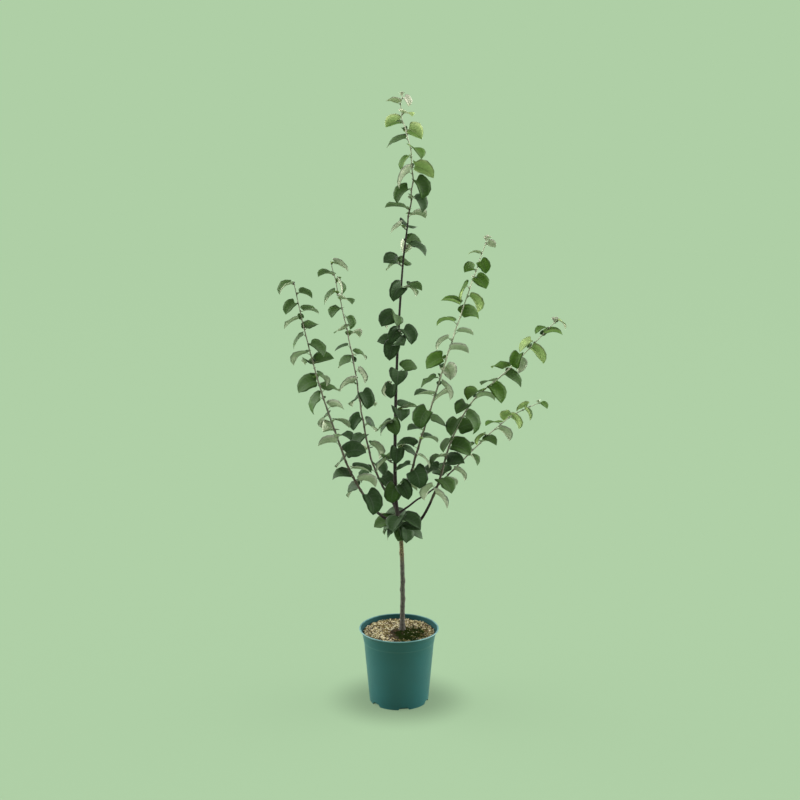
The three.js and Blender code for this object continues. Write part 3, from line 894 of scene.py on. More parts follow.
# The bark's layers: the grain of each in its UV map, between which noise values it shows, and how strongly
BARK = {
    "specular": 0.15,
    "crack_grain": (0.9, 0.16, 1.0),
    "cracks": (0.36, 0.66),
    "band_grain": (0.06, 0.7, 1.0),
    "bands": (0.58, 0.72),
    "spot_grain": (0.3, 0.55, 1.0),
    "spots": (0.1, 0.2),
    "broad": 45.0,
    "fine": 900.0,
    "brown_by_patch": (0.7, 1.0),
    "band_share": 0.4,
    "spots_by_age": (0.5, 0.12),
    "scar_share": 0.75,
    "flake_scale": 330.0,
    "flakes": (0.42, 0.62),
    "flake": (0.34, 0.27, 0.13, 1.0),
    "under_flake": (0.06, 0.04, 0.02, 1.0),
    "flaky_share": 0.75,
    "band_height": -0.6,
    "uneven": 0.1,
    "relief": 0.0004,
}


def bark_material(name, pale, dark, brown, roughness):
    """Bark with lengthwise cracks, cross bands and pale lenticels; old wood greyer, young wood browner."""
    made, graph, shader = new_material(name, roughness, BARK["specular"])
    pale, dark, brown = opaque(pale), opaque(dark), opaque(brown)
    where = graph.node("ShaderNodeTexCoord").outputs

    def along(grain):
        return graph.first("ShaderNodeMapping", {"Vector": where["UV"], "Scale": BARK[grain]})

    def painted(mask):
        return graph.node("ShaderNodeAttribute", attribute_name=mask).outputs["Fac"]

    cracks = graph.fit(graph.noise(along("crack_grain"), 1.0, 6.0, 0.65), *BARK["cracks"])
    bands = graph.fit(graph.noise(along("band_grain"), 1.0, 3.0), *BARK["bands"])
    spots = graph.node("ShaderNodeTexVoronoi", {"Vector": along("spot_grain"), "Scale": 1.0})
    spots = graph.fit(spots.outputs["Distance"], *BARK["spots"], 1.0, 0.0)
    age = painted("age")
    masks = mottle_masks(graph, where["Object"], BARK["broad"], BARK["fine"])
    patchy = graph.fit(masks["Broad"], 0.0, 1.0, *BARK["brown_by_patch"])
    flakes = graph.fit(graph.noise(where["Object"], BARK["flake_scale"], 4.0), *BARK["flakes"])
    layers = (
        (graph.times(age, patchy), brown),
        (graph.times(bands, BARK["band_share"]), dark),
        (graph.times(spots, graph.fit(age, 0.0, 1.0, *BARK["spots_by_age"])), pale),
        (graph.times(painted("scar"), BARK["scar_share"]), dark),
        (graph.times(painted("flaky"), BARK["flaky_share"]),
         graph.blend(flakes, BARK["under_flake"], BARK["flake"])),
    )
    wood = graph.blend(cracks, dark, pale)
    for share, color in layers:
        wood = graph.blend(share, wood, color)
    rough = (roughness - BARK["uneven"], min(1.0, roughness + BARK["uneven"]))
    height = graph.plus(cracks, graph.times(bands, BARK["band_height"]))
    height = graph.plus(height, spots)
    wire_surface(graph, shader, wood, masks["Fine"], rough, height, 0.8, BARK["relief"])
    return made


def finished(piece, slot, *nodes):
    """Says what the piece rides on and the nodes of the frame that it stands for; its finish, the slot, is
    not used.
    """
    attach(piece, BODY)
    if nodes:
        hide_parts(*nodes)


def baked(maker, name):
    """A plain mesh of what a piece's Geometry Nodes make, in a new object."""
    result = maker.evaluated_get(bpy.context.evaluated_depsgraph_get())
    mesh = bpy.data.meshes.new_from_object(result)
    for index in reversed(range(len(mesh.materials))):
        if mesh.materials[index] is None:
            mesh.materials.pop(index=index)
    mesh.name = name
    bpy.data.objects.remove(maker)
    return placed(name, mesh)


def run_nodes(source, tree, values, name):
    """Runs a Geometry Nodes tree on a source object with named values, as a plain mesh."""
    modifier = source.modifiers.new(name, "NODES")
    modifier.node_group = tree
    sockets = {item.name: item.identifier for item in tree.interface.items_tree if item.in_out == "INPUT"}
    for label, value in values.items():
        modifier[sockets[label]] = value
    source.update_tag()
    bpy.context.view_layer.update()
    return baked(source, name)


def random_vector(graph, low, high, seed):
    inputs = {0: low, 1: high, "Seed": seed}
    return graph.first("FunctionNodeRandomValue", inputs, data_type="FLOAT_VECTOR")


def bent(graph, geometry, scale, reach):
    """Pushes points about by a smooth noise, so that no two copies stay alike."""
    place = graph.first("GeometryNodeInputPosition")
    push = graph.node("ShaderNodeTexNoise", {"Vector": place, "Scale": scale, "Detail": 1.0}).outputs["Color"]
    push = graph.first("ShaderNodeVectorMath", {0: push, 1: (0.5, 0.5, 0.5)}, operation="SUBTRACT")
    push = graph.first("ShaderNodeVectorMath", {0: push, "Scale": reach}, operation="SCALE")
    return graph.first("GeometryNodeSetPosition", {"Geometry": geometry, "Offset": push})


# How much a chip's own shape is warped, by scale and reach, and the scale at which the strewn chips bend
CHIP_WARP = (1.7, 0.5)
LITTER_WARP = 130.0


def dress(graph, geometry, given, out):
    """Ends a tree: its mesh in the material that was given."""
    inputs = {"Geometry": geometry, "Material": given["Material"]}
    graph.link(graph.first("GeometryNodeSetMaterial", inputs), out["Mesh"])
    return graph.tree


def copies(graph, inputs):
    """Copies of a shape on points, as real geometry."""
    instances = graph.first("GeometryNodeInstanceOnPoints", inputs)
    return graph.first("GeometryNodeRealizeInstances", {"Geometry": instances})


def build_litter(name):
    """Strews flat chips or blades over a surface."""
    inputs = {
        "Surface": "Geometry",
        "Density": 10000.0,
        "Smallest": (0.004, 0.0015, 0.0006),
        "Largest": (0.012, 0.004, 0.0015),
        "Least Turn": (0.0, 0.0, 0.0),
        "Most Turn": (0.0, 0.0, 6.28),
        "Bend": 0.002,
        "Seed": 1,
        "Material": "Material",
    }
    graph, given, out = new_group(name, "GeometryNodeTree", inputs, ("Mesh",))
    chosen = graph.first("GeometryNodeInputNamedAttribute", {"Name": "litter"}, data_type="FLOAT")
    density = graph.times(given["Density"], chosen)
    inputs = {"Mesh": given["Surface"], "Density": density, "Seed": given["Seed"]}
    points = graph.node("GeometryNodeDistributePointsOnFaces", inputs).outputs["Points"]
    chip = graph.first("GeometryNodeMeshCube", {"Size": (1, 1, 1), "Vertices X": 4})
    other_seed = graph.plus(given["Seed"], 7.0)
    real = copies(graph, {
        "Points": points,
        "Instance": bent(graph, chip, *CHIP_WARP),
        "Rotation": random_vector(graph, given["Least Turn"], given["Most Turn"], given["Seed"]),
        "Scale": random_vector(graph, given["Smallest"], given["Largest"], other_seed),
    })
    return dress(graph, bent(graph, real, LITTER_WARP, given["Bend"]), given, out)


# A bud's facets, how wide it is at its foot and its tip, and how far its foot is sunk, by shares of its size
BUD = {"segments": 6, "rings": 5, "widths": (1.15, 0.35), "foot": 0.35}


def build_buds(name):
    """Sets a pointed bud on each point, along the point's aim and in its size."""
    inputs = {"Points": "Geometry", "Length": 0.004, "Width": 0.002, "Flatness": 0.8, "Material": "Material"}
    graph, given, out = new_group(name, "GeometryNodeTree", inputs, ("Mesh",))

    def named(label, kind):
        return graph.first("GeometryNodeInputNamedAttribute", {"Name": label}, data_type=kind)

    facets = {"Segments": BUD["segments"], "Rings": BUD["rings"], "Radius": 0.5}
    ball = graph.first("GeometryNodeMeshUVSphere", facets)
    place = graph.first("GeometryNodeInputPosition")
    split = graph.node("ShaderNodeSeparateXYZ", {0: place}).outputs
    slim = graph.fit(split[2], -0.5, 0.5, *BUD["widths"])
    wide = graph.times(graph.times(split[0], slim), given["Width"])
    deep = graph.times(graph.times(split[1], slim), given["Width"])
    deep = graph.times(deep, given["Flatness"])
    tall = graph.times(graph.plus(split[2], BUD["foot"]), given["Length"])
    shaped = graph.first("ShaderNodeCombineXYZ", {0: wide, 1: deep, 2: tall})
    bud = graph.first("GeometryNodeSetPosition", {"Geometry": ball, "Position": shaped})
    aim = {"Vector": named("aim", "FLOAT_VECTOR")}
    real = copies(graph, {
        "Points": given["Points"],
        "Instance": bud,
        "Rotation": graph.first("FunctionNodeAlignRotationToVector", aim, axis="Z"),
        "Scale": named("size", "FLOAT"),
    })
    smooth = graph.first("GeometryNodeSetShadeSmooth", {"Geometry": real})
    return dress(graph, smooth, given, out)


# Pot
def lathe(outline, segments):
    """A closed solid turned round the axis from an outline whose first and last points lie on it."""
    rings = outline[1:-1]
    points = [(0, 0, outline[0][1]), (0, 0, outline[-1][1])]
    for radius, height in rings:
        points += [(x, y, height) for x, y in circle(radius, segments)]
    last = 2 + (len(rings) - 1) * segments
    faces = []
    for k in range(segments):
        n = (k + 1) % segments
        faces += [(0, 2 + n, 2 + k), (1, last + k, last + n)]
        for low in range(2, last, segments):
            high = low + segments
            faces.append((low + k, low + n, high + n, high + k))
    shape = Shape()
    shape.add(points, faces)
    return shape


def arc(centre, radius, start, end, count):
    """Points of a small round corner in an outline, by its angles in degrees."""
    angles = [math.radians(mix(start, end, i / count)) for i in range(count + 1)]
    return [(centre[0] + radius * math.cos(a), centre[1] + radius * math.sin(a)) for a in angles]


# The pot's plain wall ends this far below its collar, and small curves join the two
BELOW_COLLAR = 2.0
RIM_ROUND = 1.2


def pot_outline():
    """The pot's wall from the axis over its outside, its lip and its inside back to the axis."""
    shoulder, foot, wall = POT["shoulder_radius"], POT["collar_foot"], POT["wall"]
    base, full, top = POT["base_radius"], POT["collar_radius"], POT["height"]
    foot_round, lip_round = POT["foot_round"], POT["lip_height"] / 2
    collar = mix(shoulder, full, COLLAR_BEND)
    middle = mix(foot, top, 0.5)
    lip_foot = top - POT["lip_height"]
    inner_rim = POT["lip_radius"] - POT["rim_width"]
    below = shoulder - COLLAR_STEP
    outline = [(0, 0)]
    outline += arc((base - foot_round, foot_round), foot_round, -90, 0, 4)
    for share in (0.25, 0.5, 0.75):
        outline.append((mix(base, below, share), mix(foot_round, foot - BELOW_COLLAR, share)))
    outline += [(below - 0.1, foot - 2.4), (below + 0.15, foot - 1.8)]
    outline += [(shoulder - 0.15, foot - 0.3), (shoulder + 0.1, foot + 0.4)]
    outline += [(mix(shoulder, collar, 0.5) - 0.1, mix(foot, middle, 0.5)), (collar, middle)]
    outline += [(mix(collar, full, 0.5) - 0.4, mix(middle, lip_foot, 0.5))]
    outline += [(full - 0.1, lip_foot - COLLAR_STEP), (full + 0.6, lip_foot - 0.1)]
    outline += arc((POT["lip_radius"] - lip_round, top - lip_round), lip_round, -70, 90, 10)
    outline += arc((inner_rim + RIM_ROUND, top - RIM_ROUND), RIM_ROUND, 90, 180, 5)
    outline += [(inner_rim - 0.4, lip_foot - 1), (collar - wall, middle), (shoulder - wall, foot)]
    outline += [(base - wall, POT["floor"]), (0, POT["floor"])]
    return outline


def notch_cutter(angle):
    """A wedge that takes one drain notch out of the pot's foot."""
    foot, top = NOTCH["foot_width"] / 2, NOTCH["top_width"] / 2
    low, high = -NOTCH["cutter_below"], NOTCH["height"]
    near = POT["base_radius"] - NOTCH["depth"]
    turn = math.radians(angle)
    points = []
    for reach in (near, near + NOTCH["cutter_length"]):
        for across, height in ((-foot, low), (foot, low), (top, high), (-top, high)):
            x = reach * math.cos(turn) - across * math.sin(turn)
            y = reach * math.sin(turn) + across * math.cos(turn)
            points.append((x, y, height))
    faces = [(3, 2, 1, 0), (4, 5, 6, 7)] + [(k, (k + 1) % 4, (k + 1) % 4 + 4, k + 4) for k in range(4)]
    return points, faces


# Where the pot is rubbed pale and has a painted highlight, in millimetres below its top and off the edge of
# its collar, and how much
RUBBED_AND_HIGHLIT = {"from": 1.9, "to": 0.9, "lip": 0.75, "edge_up": 0.2, "edge_reach": 1.2, "edge": 0.22}


def rub_and_highlight_lip(plastic, pale):
    """Rubs the pot's lip and the edge of its collar paler, unevenly, partly as wear and partly as a painted
    highlight.
    """
    graph = Graph(plastic.node_tree)
    shader = plastic.node_tree.nodes["Principled BSDF"].inputs
    place = graph.node("ShaderNodeTexCoord").outputs["Object"]
    height = graph.node("ShaderNodeSeparateXYZ", {0: place}).outputs[2]
    top = POT["height"]
    lip = graph.fit(height, (top - RUBBED_AND_HIGHLIT["from"]) * MM, (top - RUBBED_AND_HIGHLIT["to"]) * MM, 0.0, RUBBED_AND_HIGHLIT["lip"])
    step = graph.minus(height, (POT["collar_foot"] + RUBBED_AND_HIGHLIT["edge_up"]) * MM)
    step = graph.fit(graph.math("ABSOLUTE", step), 0.0, RUBBED_AND_HIGHLIT["edge_reach"] * MM, RUBBED_AND_HIGHLIT["edge"], 0.0)
    uneven = graph.fit(graph.noise(place, 35.0), 0.3, 0.7, 0.55, 1.0)
    rubbed_and_highlit = graph.times(graph.math("MAXIMUM", lip, step), uneven)
    plain = shader["Base Color"].links[0].from_socket
    graph.link(graph.blend(rubbed_and_highlit, plain, pale), shader["Base Color"])


# The dull finish, darker as painted shade in the pot's hollow, is for faces that look inwards by more than
# this; corners sharper than these degrees stay
INWARD = -0.3
POT_SHARP = 28


def make_pot(sizes):
    # The inside's darker colour is painted shade in the pot's hollow
    plastics = (("moulded_plastic", sizes.plastic, 0.4, 0.6), ("dull_plastic", sizes.inside, 0.8, 0.12))
    finishes = []
    for name, color, roughness, specular in plastics:
        dark = opaque(color, 0.86)
        plastic = mottled(name, opaque(color), dark, roughness, 18.0, 1400.0, 0.00008, 0.06, specular)
        # The lip and the collar's edge are paled for wear and for a painted highlight
        rub_and_highlight_lip(plastic, opaque(sizes.lip))
        finishes.append(plastic)
    pot = lathe(pot_outline(), sizes.segments).make("pot_wall", finishes)
    cuts = Shape()
    for i in range(NOTCH["count"]):
        cuts.add(*notch_cutter(NOTCH["first_angle"] + i * 360 / NOTCH["count"]))
    cutter = cuts.make("notches", [plastic])
    modifier = pot.modifiers.new("notches", "BOOLEAN")
    modifier.object = cutter
    modifier.operation = "DIFFERENCE"
    modifier.solver = "EXACT"
    bpy.context.view_layer.update()
    made = baked(pot, "pot_wall")
    bpy.data.objects.remove(cutter)
    # Inward faces take the dull finish with its painted shade
    for face in made.data.polygons:
        outward = Vector((face.center.x, face.center.y, 0.0)).normalized()
        face.material_index = int(face.normal.dot(outward) < INWARD)
    made.data.shade_smooth()
    made.data.set_sharp_from_angle(angle=math.radians(POT_SHARP))
    finished(made, "pot_plastic", "pot")


# Soil and its mulch: the moss cushion, and the patch before the stem where little mulch lies
MOSS = {"x": 31.0, "y": -26.0, "radius_x": 42.0, "radius_y": 54.0, "cushion": 2.6, "fade": 2.2, "thins": 0.85}
BARE_SOIL = {
    "x": -2.0,
    "y": -26.0,
    "radius_x": 30.0,
    "radius_y": 56.0,
    "left": 0.0,
    "bark_left": 0.6,
    "wave": (0.3, 0.07, 5.0),
    "fade": (2.5, 1.6),
}
# The noises that make the moss's edge ragged and the soil uneven: height, scale and layer of each
RAGGED = ((0.45, 0.05, 3.0), (0.4, 0.13, 9.0))
UNEVEN = ((1.6, 0.045, 0.0), (0.7, 0.16, 7.0))
SOIL_SEGMENTS = 96
SOIL_RINGS = 26
# Mulch lies no deeper than this below the soil's level, starts so far from the wall and stays so clear of it
BED_DEPTH = 6.0
BED_RIM = 2.5
WALL_CLEARANCE = 0.2
# The least and most tilt, in radians
LEVEL, STANDING = (-0.6, 0.6), (-1.35, -0.55)
# Each kind's share of the chips, its seed, its smallest and largest piece, and its least and most tilt
MULCH = {
    "straw": (0.20, 11, (0.005, 0.0008, 0.0005), (0.014, 0.0021, 0.0012), LEVEL),
    "tan": (0.20, 23, (0.003, 0.0016, 0.0009), (0.008, 0.0042, 0.0026), LEVEL),
    "beige": (0.22, 37, (0.0028, 0.0015, 0.0009), (0.0075, 0.0040, 0.0026), LEVEL),
    "olive": (0.24, 41, (0.003, 0.0010, 0.0007), (0.010, 0.0028, 0.0016), LEVEL),
    "bark": (0.20, 59, (0.003, 0.0018, 0.0010), (0.009, 0.0048, 0.0028), LEVEL),
    "stalks": (0.05, 67, (0.007, 0.0007, 0.0006), (0.014, 0.0014, 0.0010), STANDING),
}
MOSS_BLADES = (71, (0.0022, 0.0005, 0.0004), (0.0070, 0.0014, 0.0009), (-1.5, -0.2))
# How many times as much of a kind lies on the right, and from where to how far on it grows to that
MORE_TO_RIGHT = {"straw": 0.8, "tan": 1.0, "beige": 0.55, "olive": 1.7, "bark": 1.3}
TO_RIGHT = (-15, 70)
# The stalks stand from so far out, and at their thickest so much farther
BY_WALL = (70, 12)
SOIL_LIGHT, SOIL_DARK = (0.066, 0.053, 0.031), (0.018, 0.015, 0.009)


def clamped(value):
    return min(1.0, max(0.0, value))


def rising(place, start, reach):
    """0 up to the start, and 1 from the reach beyond it."""
    return clamped((place - start) / reach)


def wavy(x, y, height, scale, layer):
    """A smooth noise over the soil."""
    return height * noise.noise(Vector((x * scale, y * scale, layer)))


def out_of(oval, x, y):
    """How far out a place lies in an oval: 0 at its middle and 1 at its edge."""
    return math.hypot((x - oval["x"]) / oval["radius_x"], (y - oval["y"]) / oval["radius_y"])


def moss_share(x, y):
    """How mossy the soil is at a place, from 0 to 1."""
    ragged = sum(wavy(x, y, *wave) for wave in RAGGED)
    return clamped((1.0 - (out_of(MOSS, x, y) + ragged)) * MOSS["fade"])


def soil_edge():
    return mix(POT["shoulder_radius"], POT["collar_radius"], COLLAR_BEND) - POT["wall"] - GAP


def soil_height(radius, x, y):
    """The mulch's surface: swollen between the stem's seat and the wall, and uneven."""
    edge = soil_edge()
    marks = (
        (0.0, 0.0),
        (SOIL["seat_radius"], 0.0),
        (edge * SOIL["crown"], SOIL["swell"]),
        (edge * SOIL["slope"], SOIL["swell"] / 2),
        (edge, -SOIL["edge_drop"]),
    )
    lift = float(np.interp(radius, *zip(*marks)))
    lift += MOSS["cushion"] * moss_share(x, y)
    for wave in UNEVEN:
        lift += wavy(x, y, *wave)
    return SOIL_TOP + lift


def disc_faces(rings, count, end=None):
    """Faces from a middle point out over rings of points, and back to an end point if there is one."""
    last = 1 + (rings - 1) * count
    faces = []
    for k in range(count):
        n = (k + 1) % count
        faces.append((0, 1 + k, 1 + n))
        for low in range(1, last, count):
            high = low + count
            faces.append((low + k, high + k, high + n, low + n))
        if end is not None:
            faces.append((end, last + n, last + k))
    return faces


def soil_shape():
    """The filling of the pot: a disc of rings that closes with walls and a floor."""
    edge = soil_edge()
    points = [(0, 0, soil_height(0, 0, 0))]
    for j in range(1, SOIL_RINGS + 1):
        radius = edge * j / SOIL_RINGS
        points += [(x, y, soil_height(radius, x, y)) for x, y in circle(radius, SOIL_SEGMENTS)]
    foot = POT["base_radius"] - POT["wall"] - GAP - NOTCH["depth"]
    floor = POT["floor"] + GAP
    walls = (
        (edge, mix(POT["collar_foot"], POT["height"], 0.5)),
        (POT["shoulder_radius"] - POT["wall"] - GAP, POT["collar_foot"]),
        (foot + 1, NOTCH["height"] + 3),
        (foot, floor),
    )
    for radius, height in walls:
        points += [(x, y, height) for x, y in circle(radius, SOIL_SEGMENTS)]
    points.append((0, 0, floor))
    shape = Shape()
    shape.add(points, disc_faces(SOIL_RINGS + len(walls), SOIL_SEGMENTS, len(points) - 1))
    return shape


def litter_bed(name, share_at):
    """The soil's top as a surface to strew on, with how thickly at each point."""
    made = soil_shape().make(name, [])
    shares = []
    for vertex in made.data.vertices:
        x, y, z = (c / MM for c in vertex.co)
        on_top = z > SOIL_TOP - BED_DEPTH and math.hypot(x, y) < soil_edge() - BED_RIM
        shares.append(share_at(x, y) if on_top else 0.0)
    add_values(made.data, "litter", shares)
    return made


def inside_wall(piece):
    """Draws in what would stick out through the pot's wall."""
    count = len(piece.data.vertices)
    places = np.zeros(count * 3, np.float32)
    piece.data.vertices.foreach_get("co", places)
    places = places.reshape(-1, 3)
    reach = np.hypot(places[:, 0], places[:, 1])
    limit = (soil_edge() - WALL_CLEARANCE) * MM
    places[:, :2] *= np.minimum(1.0, limit / np.maximum(reach, MM))[:, None]
    piece.data.vertices.foreach_set("co", places.ravel())
    piece.data.update()
    return piece


def strew(name, finish, where, density, kind, roll=0.7, bend=0.002):
    """Strews one kind of loose piece over the soil, as thickly as its rule says at each place."""
    seed, smallest, largest, tilt = kind
    values = {
        "Density": density,
        "Smallest": smallest,
        "Largest": largest,
        "Least Turn": (-roll, tilt[0], 0.0),
        "Most Turn": (roll, tilt[1], 2 * math.pi),
        "Bend": bend,
        "Seed": seed,
        "Material": finish,
    }
    tree = shared_group("litter", build_litter)
    strewn = run_nodes(litter_bed(name + "_bed", where), tree, values, name)
    finished(inside_wall(strewn), "mulch")


def mulch_rule(kind):
    """How thickly a kind of mulch lies at a place: less on the moss, and its own way over the rest."""

    def share_at(x, y):
        share = 1.0 - MOSS["thins"] * moss_share(x, y)
        if kind == "stalks":
            return rising(math.hypot(x, y), *BY_WALL) * share
        bare = out_of(BARE_SOIL, x, y) + wavy(x, y, *BARE_SOIL["wave"])
        steep, off = BARE_SOIL["fade"]
        covered = mix(BARE_SOIL["left"], 1.0, clamped(bare * steep - off))
        if kind == "bark":
            covered = mix(BARE_SOIL["bark_left"], 1.0, covered)
        return share * covered * mix(1.0, MORE_TO_RIGHT[kind], rising(x, *TO_RIGHT))

    return share_at


def make_soil(sizes):
    light, dark = opaque(SOIL_LIGHT), opaque(SOIL_DARK)
    filling = mottled("potting_mix", light, dark, 0.9, 60.0, 700.0, 0.0012, specular=0.08)
    soil = soil_shape().make("soil_fill", [filling], sharp=50)
    finished(soil, "mulch", "soil")
    for kind, (share, *rest) in MULCH.items():
        color = sizes.straw if kind == "stalks" else getattr(sizes, kind)
        name, light, dark = "mulch_" + kind, opaque(color), opaque(color, 0.6)
        finish = mottled(name, light, dark, 0.85, 90.0, 900.0, 0.0003, specular=0.2)
        strew(name, finish, mulch_rule(kind), sizes.chips * share, rest)
    light, dark = opaque(sizes.moss), opaque(sizes.moss, 0.35)
    moss = mottled("moss", light, dark, 0.9, 80.0, 900.0, 0.0003, specular=0.08)
    strew("moss", moss, moss_share, sizes.moss_blades, MOSS_BLADES, roll=0.8, bend=0.0025)


# Wood: the stem and the bare boughs, with their relief. The bark's fine ridges and its broad swells
RIDGES = {"round": 0.5, "along": 0.07, "scale": 1.6, "height": 0.55}
SWELLS = {"round": 1.2, "along": 0.025, "height": 0.8}
# The stem's leaf marks: how far their rings and rims reach, how high they are, and where their dark scars lie
MARK = {
    "ring_reach": 2.6,
    "ring": 0.5,
    "facing": 0.3,
    "rim_reach": 1.8,
    "rim": 1.3,
    "scar_up": 1.8,
    "scar_reach": 1.3,
    "scar": 1.6,
}
# Where the stem's bark is flaky and browner: the middle of that stretch, and how far it reaches up and down
FLAKY = {"height": 402.0, "reach": 36.0}
# A bough's facets, its collar at the stem, its relief beside the stem's, and the rings along it
BOUGH = {
    "facets": 14,
    "nominal": 3.5,
    "sunk": 1.5,
    "collar": 0.32,
    "collar_reach": 9,
    "relief": 0.6,
    "ring": 0.28,
    "ring_first": 9,
    "ring_gap": 23,
    "ring_reach": 1.6,
}


def bark_lift(angle, height, radius, rough):
    """Fine lengthwise ridges and broad unevenness of the bark, in millimetres."""
    x, y = math.cos(angle), math.sin(angle)
    fine = Vector((x * radius * RIDGES["round"], y * radius * RIDGES["round"], height * RIDGES["along"]))
    broad = Vector((x * SWELLS["round"], y * SWELLS["round"], height * SWELLS["along"]))
    ridges = RIDGES["height"] * noise.noise(fine * RIDGES["scale"])
    return rough * (ridges + SWELLS["height"] * noise.noise(broad))


def stem_marks():
    """The height, the side and the swell of each leaf mark on the stem."""
    draw = draws(77)
    marks = []
    height = SOIL_TOP + 16
    turn = 0.0
    while height < STEM_TOP - 12:
        marks.append((height, turn, mix(0.25, 0.75, draw())))
        turn += mix(2.0, 2.8, draw())
        height += mix(16, 30, draw())
    return marks


STEM_MARKS = stem_marks()


def stem_relief(angle, height):
    """Node rings, bud scars and cut marks on the stem."""
    lift = 0.0
    for mark, turn, swell in STEM_MARKS:
        lift += swell * MARK["ring"] * hump(height - mark, MARK["ring_reach"])
        facing = math.cos(angle - turn) - MARK["facing"]
        if facing > 0:
            lift += swell * MARK["rim"] * (hump(height - mark, MARK["rim_reach"]) * facing)
    return lift


def scar_at(height):
    """How much of a dark ring scar lies at a height of the stem, from 0 to 1."""
    return max(
        hump(height - mark - MARK["scar_up"], MARK["scar_reach"]) * min(1.0, swell * MARK["scar"])
        for mark, _, swell in STEM_MARKS)


def add_stem(shape, stem_line, sizes):
    """The stem with its relief; gives its rings' heights."""
    line = fine_line(stem_line, sizes.ring_step)
    sides = sizes.stem_sides
    rough = sizes.relief / MM
    radii = np.zeros((len(line), sides))
    for i, point in enumerate(line):
        old = 1 - 0.5 * (point[2] - SOIL_TOP) / (STEM_TOP - SOIL_TOP)
        for k in range(sides):
            angle = 2 * math.pi * k / sides
            radius = stem_radius(0, -angle, point)
            lift = bark_lift(angle, point[2], radius, rough * old) + stem_relief(angle, point[2]) * old
            radii[i, k] = radius + lift
    age = np.clip((line[:, 2] - STEM["fork_height"]) / 80, 0, 1)
    tube(shape, line, radii, sides, STEM["fork"], age=age)
    return line[:, 2]


def add_bough(shape, bough, sizes):
    lengths = lengths_of(bough["line"])
    distances = np.linspace(0, bough["bare"] + BOUGH["sunk"], int(bough["bare"] / sizes.ring_step))
    line = np.array([point_at(bough["line"], lengths, d) for d in distances])
    facets = BOUGH["facets"]
    rough = sizes.relief / MM * BOUGH["relief"]
    radii = np.zeros((len(line), facets))
    for i, distance in enumerate(distances):
        radius = bough["radius_at"](distance)
        collar = BOUGH["collar"] * radius * math.exp(-distance / BOUGH["collar_reach"])
        off = (distance + BOUGH["ring_first"]) % BOUGH["ring_gap"] - BOUGH["ring_gap"] / 2
        ringed = BOUGH["ring"] * hump(off, BOUGH["ring_reach"])
        for k in range(facets):
            lift = bark_lift(2 * math.pi * k / facets, distance * 1.2 + 50, radius, rough)
            radii[i, k] = radius + collar + lift + ringed
    tube(shape, line, radii, facets, BOUGH["nominal"], age=np.ones(len(line)))


def make_wood(sizes, plant):
    stem_line, boughs, _, _ = plant
    bark = bark_material("stem_bark", sizes.bark_pale, sizes.bark_dark, sizes.bark_brown, 0.82)
    shape = Shape()
    rings = add_stem(shape, stem_line, sizes)
    heights = np.append(np.repeat(rings, sizes.stem_sides), [0.0, 0.0])
    for bough in boughs:
        add_bough(shape, bough, sizes)
    wood = shape.make("wood", [bark])
    for name, values in (
        ("scar", [scar_at(height) for height in heights]),
        ("flaky", np.exp(-(((heights - FLAKY["height"]) / FLAKY["reach"]) ** 4))),
    ):
        add_values(wood.data, name, np.pad(values, (0, shape.count - len(values))))
    nodes = ["trunk"] + [f"bough_{bough['name']}" for bough in boughs]
    finished(wood, "bark", *nodes)


# Twigs: shoot stems, spur stems and leaf stalks. How young each shoot's bark gets at its tip, from 0 to 1
YOUNG_BARK = {"leader": 1.0, "right_inner": 0.95, "right_outer": 0.9, "right_low": 0.8}
OLD_SHOOT = 0.3
TWIG_SIDES = 9
# The swelling of a shoot at each leaf joint: how much, and how far along it in millimetres
JOINT_SWELL = (0.28, 2.2)
# How far a shoot and a spur reach back into what they grow on, how they end, and how their bark ages
SHOOT = {"back": 0.8, "back_radius": 0.9, "tip": 0.6, "aging": (1.9, 0.2), "nominal": 2.0}
SPUR_LOOK = {"back": 0.5, "step": 1.0, "rings": (0.14, 34), "tip": 0.7, "age": 0.1, "nominal": 1.6}
FULL_LEAF = 50
# Small leaves in the axils: how many of the large leaves have one, how they stand, and their tones
AXIL = {
    "seed": 17,
    "share": 0.4,
    "turn": (0.6, 1.4),
    "rise": (25, 60),
    "stalk": (3.0, 5.5),
    "lengths": (8, 17),
    "angles": {"arch": (20, 70), "fold": (15, 40), "roll": (-35, 35)},
    "tones": (0, 1, 1, 2),
}
# A leaf's stalk and the rib that goes on from it: where its points lie on each, and its radius at all of them
STALK = {
    "sunk": -0.06,
    "sag": -0.05,
    "at": (0.33, 0.68),
    "rib_at": (0.1, 0.25, 0.45, 0.65, 0.85),
    "under": (-0.55, 0.3),
    "radii": (1.05, 0.85, 0.75, 0.72, 0.6, 0.5, 0.4, 0.3, 0.16),
    "sides": 6,
    "nominal": 0.8,
}


def add_shoot(shape, spray, step):
    """A shoot's stem, swollen at its leaf joints and sunk a little into its bough."""
    line = fine_line(spray["line"], step)
    lengths = lengths_of(line)
    shares = lengths / lengths[-1]
    if "radii" in spray:
        radius_at, bare, whole = spray["radii"]
        radii = np.array([radius_at(mix(bare, whole, share)) for share in shares])
    else:
        radii = STEM["top"] + (TIP_RADIUS - STEM["top"]) * shares
    swell, reach = JOINT_SWELL
    for leaf in spray["leaves"]:
        radii = radii * (1 + swell * np.exp(-(((shares - leaf["share"]) * lengths[-1] / reach) ** 2)))
    line = np.vstack([line[0] + (line[0] - line[1]) * SHOOT["back"], line])
    radii = np.concatenate([[radii[0] * SHOOT["back_radius"]], radii])
    radii[-1] *= SHOOT["tip"]
    steep, start = SHOOT["aging"]
    age = np.clip(shares * steep - start, 0, 1) * YOUNG_BARK.get(spray["name"], OLD_SHOOT)
    tube(shape, line, radii, TWIG_SIDES, SHOOT["nominal"], age=np.concatenate([[0], age]))


